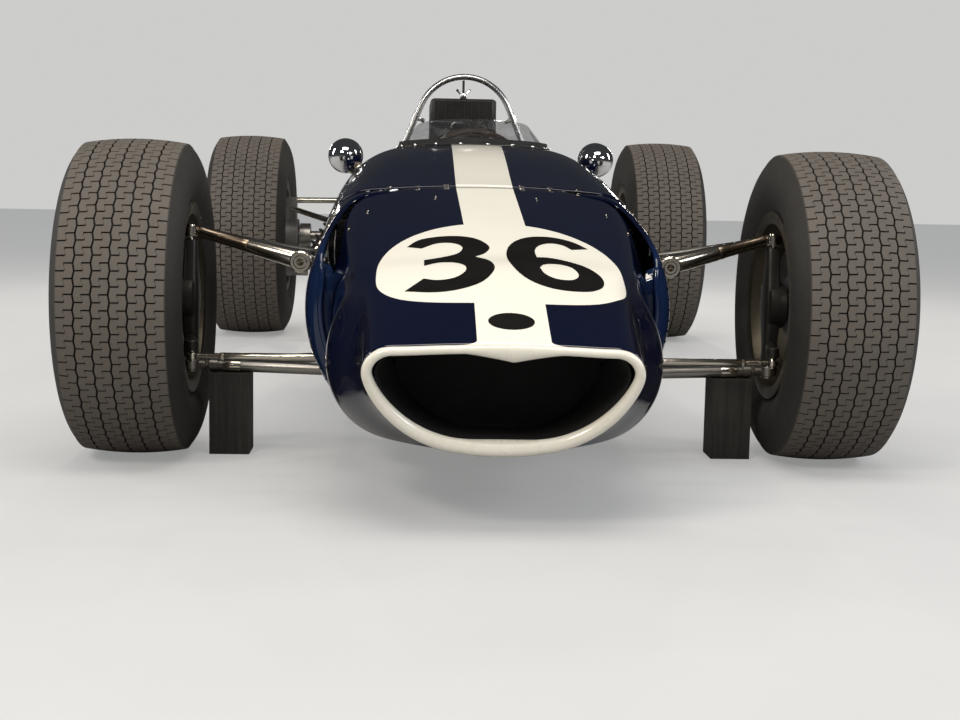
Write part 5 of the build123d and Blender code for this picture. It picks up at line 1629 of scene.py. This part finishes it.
def spring_units():
    """Coil springs over dampers at the rear, with their spring cups and top eyes."""
    for word, side in SIDES:
        foot, top = Vector((side * 584, 1286, 244)), Vector((side * 330, 1286, 600))
        axis = (top - foot).normalized()
        spare = axis.cross(Vector((0, 1, 0))).normalized()
        other = axis.cross(spare)
        length = (top - foot).length
        coil = []
        steps = 22
        for k in range(9 * steps + 1):
            a = 2 * math.pi * k / steps
            along = length * (0.20 + 0.56 * k / (9 * steps))
            coil.append(foot + axis * along + (spare * math.cos(a) + other * math.sin(a)) * 34)
        spring = Stock()
        spring.tube(coil, 5.4, 10)
        spring.piece("rear_spring_" + word, "chassis", "black_steel", SPRING_PAINT, 60,
                     ["rear_coilover_" + word])
        body = Stock()
        body.turned([(40, 0), (40, 24), (44, 25.5), (62, 25.5), (66, 24), (208, 24), (212, 20), (212, 9),
                     (length - 14, 9), (length - 14, 0)], foot, axis, 36)
        for at in (length * 0.185, length * 0.775):
            body.turned([(at - 4, 12), (at - 4, 38), (at + 4, 40), (at + 5, 38), (at + 5, 12)], foot, axis,
                        36, closed=True)
        body.turned([(-9, 9), (-9, 15), (9, 15), (9, 9)], top, (0, 1, 0), 28, closed=True)
        body.slab((foot.x - 12, 1274, 244.2), (foot.x + 12, 1298, 268), 3)
        body.tube([foot + Vector((0, 0, 14)), foot + axis * 44], 13, 20)
        body.piece("rear_damper_" + word, "chassis", "black_steel", NICKEL, 35)


def seat_pad():
    """Reclined seat pad: upright sewn channels between rolled sides, pinched where squab and back meet."""
    pairs = (((-300, 196), (-300, 150)), ((-180, 183), (-180, 150)), ((-60, 173), (-60, 150)),
             ((60, 173), (60, 150)), ((150, 176), (190, 150)), ((205, 206), (222, 163)),
             ((300, 350), (321, 325)), ((388, 485), (412, 475)), ((396, 530), (417.5, 530)),
             ((396, 589), (417.5, 589)))
    top = smooth_line([q[0] for q in pairs], 12)
    low = smooth_line([q[1] for q in pairs], 12)
    run = [0.0]
    for i in range(1, len(top)):
        run.append(run[-1] + math.dist(top[i], top[i - 1]))
    folds = (run[52], run[84])
    rows = []
    for i, ((y, z), (yl, zl)) in enumerate(zip(top, low)):
        (ya, za), (yb, zb) = top[max(i - 1, 0)], top[min(i + 1, len(top) - 1)]
        away = math.hypot(yb - ya, zb - za)
        up = Vector((0, -(zb - za) / away, (yb - ya) / away))
        end = min(run[i], run[-1] - run[i], 16.0)
        ring = []
        for k in range(97):
            x = -190 + 380 * k / 96.0
            edge = min(190 - abs(x), 18.0)
            swell = 5.0 * abs(math.sin(math.pi * (x + 168) / 42.0)) ** 0.55 if abs(x) < 168 else 5.0
            for fold in folds:
                swell -= 5.5 * math.exp(-((run[i] - fold) / 7.0) ** 2)
            for drop in (edge / 18.0, end / 16.0):
                swell -= 16.0 * (1 - math.sqrt(max(1 - (1 - drop) ** 2, 0)))
            ring.append(Vector((x, y, z)) + up * (swell - 3.0))
        ring += [Vector((190 - 380 * k / 12.0, yl, zl)) for k in range(13)]
        rows.append(ring)
    stock = Stock().grid(rows, close_across=True, caps=True)
    thing = stock.piece("seat_pad", "chassis", "seat_cloth", COVER, 60, ["seat"])


def dials():
    """Round dials on the dashboard, with plain ticks and a needle each."""
    bezels, faces, marks = Stock(), Stock(), Stock()
    for x, z, r in ((0, 612, 42), (-88, 606, 29), (88, 606, 29), (-150, 590, 22), (150, 590, 22)):
        at = Vector((x, -500, z))
        bezels.turned([(0, r + 3), (7, r + 3), (9, r + 1), (9, r - 2), (3, r - 2), (0, r - 2)], at,
                      (0, 1, 0), 48, closed=True)
        faces.turned([(0.2, 0), (0.2, r - 1), (2.5, r - 1), (2.5, 0)], at, (0, 1, 0), 40)
        for k in range(11):
            a = math.radians(225 - 27 * k)
            turn = Matrix.Translation(at + Vector((0, 2.6, 0))) @ Matrix.Rotation(-a, 4, "Y")
            marks.slab((r * 0.74, 0, -0.7), (r * 0.9, 0.5, 0.7), 0, turn)
        turn = Matrix.Translation(at + Vector((0, 3.2, 0))) @ Matrix.Rotation(-math.radians(215), 4, "Y")
        marks.slab((-r * 0.2, 0, -0.9), (r * 0.72, 0.6, 0.9), 0, turn)
    bezels.piece("dial_bezels", "chassis", "chromed_steel", CHROME, 35)
    faces.piece("dial_faces", "chassis", "black_panel", NUMBER_BLACK, 35)
    marks.piece("dial_marks", "chassis", "cream_paint", CREAM_PAINT, 35)


def engine_dress():
    """Bolts and plug caps along the cam covers, and bolted flanges of block and gearbox."""
    bolts = Fixings("engine_bolts", small=SMALL_BOLT, bolt=BOLT,
                    cap=(20, [(-1, 13), (5, 12), (8, 9), (22, 8), (24, 0)]))
    crank_z = 265
    lean_x, lean_z = 0.5, 0.866

    def on_bank(s, y, along, out):
        return s * (lean_x * along + lean_z * out), y, crank_z + lean_z * along - lean_x * out

    for s in (-1, 1):
        for y in range(580, 1060, 46):
            for out, splay in ((50, 0.62), (-50, -0.62)):
                axis = (s * (lean_x + lean_z * splay), 0, lean_z - lean_x * splay)
                bolts.stand("small", on_bank(s, y, 338, out), axis)
        for y in range(635, 1026, 78):
            bolts.stand("cap", on_bank(s, y, 348, 0), (s * lean_x, 0, lean_z))
        for z in range(170, 480, 38):
            bolts.stand("bolt", (s * 101, 1087, z), (0, 1, 0))
        for z in (280, 330, 380, 430, 470):
            bolts.stand("bolt", (s * 82, 1485, z), (0, 1, 0))
    bolts.piece("chassis", "plated_steel", STEEL)


def carried_nodes():
    """Finishes of the nodes that are shown as they are."""
    table = (
        # The radiator takes the duct's near-black painted shade
        (DUCT_PAINTED_SHADE, "radiator"), (BLACK, "radiator_rails rear_crossmember"), (MATT, "dashboard"),
        (CAST, "engine_block gearbox rear_upright_left rear_upright_right"), (GAUZE, "intake_cover"),
        (CRACKLE, "cam_cover_left cam_cover_right"), (SPUN, "intake_trumpets steering_rack"),
        (PALE_HEAT, "exhaust_left exhaust_right"), (WOOD, "stand_blocks"),
        (NICKEL, "rear_links_left rear_links_right"), (STEEL, "driveshaft_left driveshaft_right"),
    )
    for material, nodes in table:
        for node in nodes.split():
            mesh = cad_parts[node].data
            mesh.materials.clear()
            mesh.materials.append(material)


def cockpit_tub():
    """Inner walls, floor and bulkheads of the tub."""
    stock = Stock()
    for s in (-1, 1):
        stock.slab((s * 235, -541, 152), (s * 239, 428, 597), 1)
        stock.slab((s * 205, -1000, 152), (s * 209, -541, 538), 1)
        stock.slab((s * 205, -545, 152), (s * 236, -541, 538), 1)
    stock.slab((-239, -1000, 146), (239, 232, 150), 1)
    stock.slab((-330, -1004, 130), (330, -1000, 520), 1)
    stock.slab((-239, 431, 470), (239, 436, 598), 1)
    stock.sheet([(-239, 0), (239, 0), (239, 386), (-239, 386)], 4,
                Matrix.Translation((0, 231, 150)) @ Matrix.Rotation(math.radians(58.5), 4, "X"))
    inside, middle_z, low_z = 0.985, 140, 124.0
    line = [(x, z) for x, y, z in TUB.outline(537.0)[::3] if z < 585]
    half = [(x * inside, max(middle_z + (z - middle_z) * inside, low_z)) for x, z in line]
    outline = [(-x, z) for x, z in half[::-1] if x > 0.5] + [(x, z) for x, z in half if x > 0.5]
    stock.sheet(outline, 4, Matrix.Translation((0, 536, 0)) @ Matrix.Rotation(math.radians(90), 4, "X"))
    stock.piece("tub_inner", "chassis", "bright_alloy", SPUN, 35, ["monocoque_tub"])


PALE = (0.78, 0.78, 0.77)
FLOOR_Z = -0.0005
WARM = (1.0, 0.96, 0.90)
AMBER = (1.0, 0.92, 0.82)

# Name, place and aim in metres, width, height, power in watts, colour
LAMPS = (
    ("key", (-2.4, -4.6, 3.4), (0, -1.0, 0.3), 1.5, 0.9, 95, (1.0, 0.93, 0.84)),
    ("fill", (3.4, -3.6, 2.4), (0, -0.8, 0.4), 1.4, 1.0, 48, (0.90, 0.94, 1.0)),
    ("top", (0, -2.5, 4.4), (0, -1.0, 0), 3.0, 1.6, 95, WARM),
    ("shine_left", (-1.7, -5.6, 3.1), (0, -1.6, 0.4), 0.22, 0.10, 7, (1.0, 0.95, 0.88)),
    ("shine_right", (1.9, -5.4, 3.0), (0, -1.6, 0.4), 0.22, 0.10, 7, (1.0, 0.95, 0.88)),
    ("streak_left", (1.55, 3.7, 1.15), (0.3, -1.1, 0.5), 0.7, 0.04, 2.2, WARM),
    ("streak_right", (-1.55, 3.7, 1.15), (-0.3, -1.1, 0.5), 0.7, 0.04, 2.2, WARM),
    ("streak_left_high", (1.7, 3.6, 1.45), (0.3, -1.1, 0.5), 0.6, 0.03, 1.6, WARM),
    ("streak_right_high", (-1.7, 3.6, 1.45), (-0.3, -1.1, 0.5), 0.6, 0.03, 1.6, WARM),
    ("side_left", (4.6, 0.6, 2.2), (0, 0.3, 0.3), 0.5, 2.2, 60, (1.0, 0.95, 0.90)),
    ("side_right", (-4.6, 0.6, 2.2), (0, 0.3, 0.3), 0.5, 2.2, 60, (1.0, 0.97, 0.95)),
    ("track_one", (-0.9, 3.2, 3.4), (0, 0.6, 0.3), 0.10, 0.10, 26, AMBER),
    ("track_two", (0.7, 3.4, 3.1), (0, 0.6, 0.3), 0.12, 0.12, 30, AMBER),
    ("track_three", (0.1, 3.8, 2.2), (0, 0.6, 0.3), 0.08, 0.08, 14, AMBER),
)


def backdrop():
    """Pale surroundings, paler to the camera than to the paint, and dim where they mirror in it."""
    world = bpy.data.worlds.new("studio")
    world.use_nodes = True
    bpy.context.scene.world = world
    room = Nodes(world.node_tree)
    room.tree.nodes.remove(room.tree.nodes["Background"])
    to_camera = room.make("ShaderNodeLightPath", {}, {}, "Is Camera Ray")
    mirrored = Field(room, to_camera.socket.node.outputs["Is Glossy Ray"])
    lights = []
    for colour, strength in (((0.80, 0.82, 0.86), 0.55), ((0.80, 0.84, 0.90), 0.05), (PALE, 0.78)):
        lights.append(room.make("ShaderNodeBackground", {}, {"Color": (*colour, 1), "Strength": strength}))
    unseen = room.make("ShaderNodeMixShader", {}, {0: mirrored, 1: lights[0], 2: lights[1]})
    whole = room.make("ShaderNodeMixShader", {}, {0: to_camera, 1: unseen, 2: lights[2]})
    room.feed(room.tree.nodes["World Output"].inputs[0], whole)


def floor():
    """Pale floor that takes the car's shadow, and glows a little to the camera alone."""
    mesh = bpy.data.meshes.new("floor")
    corners = [(x, y, FLOOR_Z) for x, y in ((-14, -9), (14, -9), (14, 16), (-14, 16))]
    mesh.from_pydata(corners, [], [(0, 1, 2, 3)])
    ground = bpy.data.objects.new("floor", mesh)
    bpy.context.scene.collection.objects.link(ground)
    pale = Finish("pale_floor")
    speck = pale.noise(3.0, 6.0)
    glow = pale.blend(pale.make("ShaderNodeLightPath", {}, {}, "Is Camera Ray"), (0, 0, 0), PALE)
    tone = pale.blend(speck, (0.36, 0.36, 0.355), (0.39, 0.39, 0.385))
    mesh.materials.append(pale.surface(Base_Color=tone, Roughness=0.62 + 0.1 * speck,
                                       Specular_IOR_Level=0.1, Emission_Color=glow, Emission_Strength=0.33))


def lamps():
    """Soft lamps that the camera doesn't see; the small ones behind the car don't mirror in it either."""
    for name, spot, aim, wide, high, power, colour in LAMPS:
        lamp = bpy.data.lights.new(name, "AREA")
        lamp.shape = "RECTANGLE"
        lamp.size = wide
        lamp.size_y = high
        lamp.energy = power
        lamp.color = colour
        thing = bpy.data.objects.new(name, lamp)
        thing.visible_glossy = not name.startswith("track")
        thing.visible_camera = False
        bpy.context.scene.collection.objects.link(thing)
        turn = (Vector(aim) - Vector(spot)).to_track_quat("-Z", "Y").to_matrix().to_4x4()
        thing.matrix_world = Matrix.Translation(spot) @ turn


bpy.context.scene.view_settings.view_transform = "Standard"
place_camera()
floor()
backdrop()
lamps()
nose_cone()
number_and_disc()
nose_lip()
mouth_duct()
tub_shell()
cockpit_tub()
scuttle()
windscreen()
hoop()
steering_wheel()
mirrors()
road_wheels()
for word, side in SIDES:
    front_arms(word, side)
    front_knuckle(word, side)
pontoons()
gauze_cover()
gearbox_dress()
tub_rivets()
spring_units()
seat_pad()
dials()
engine_dress()
carried_nodes()
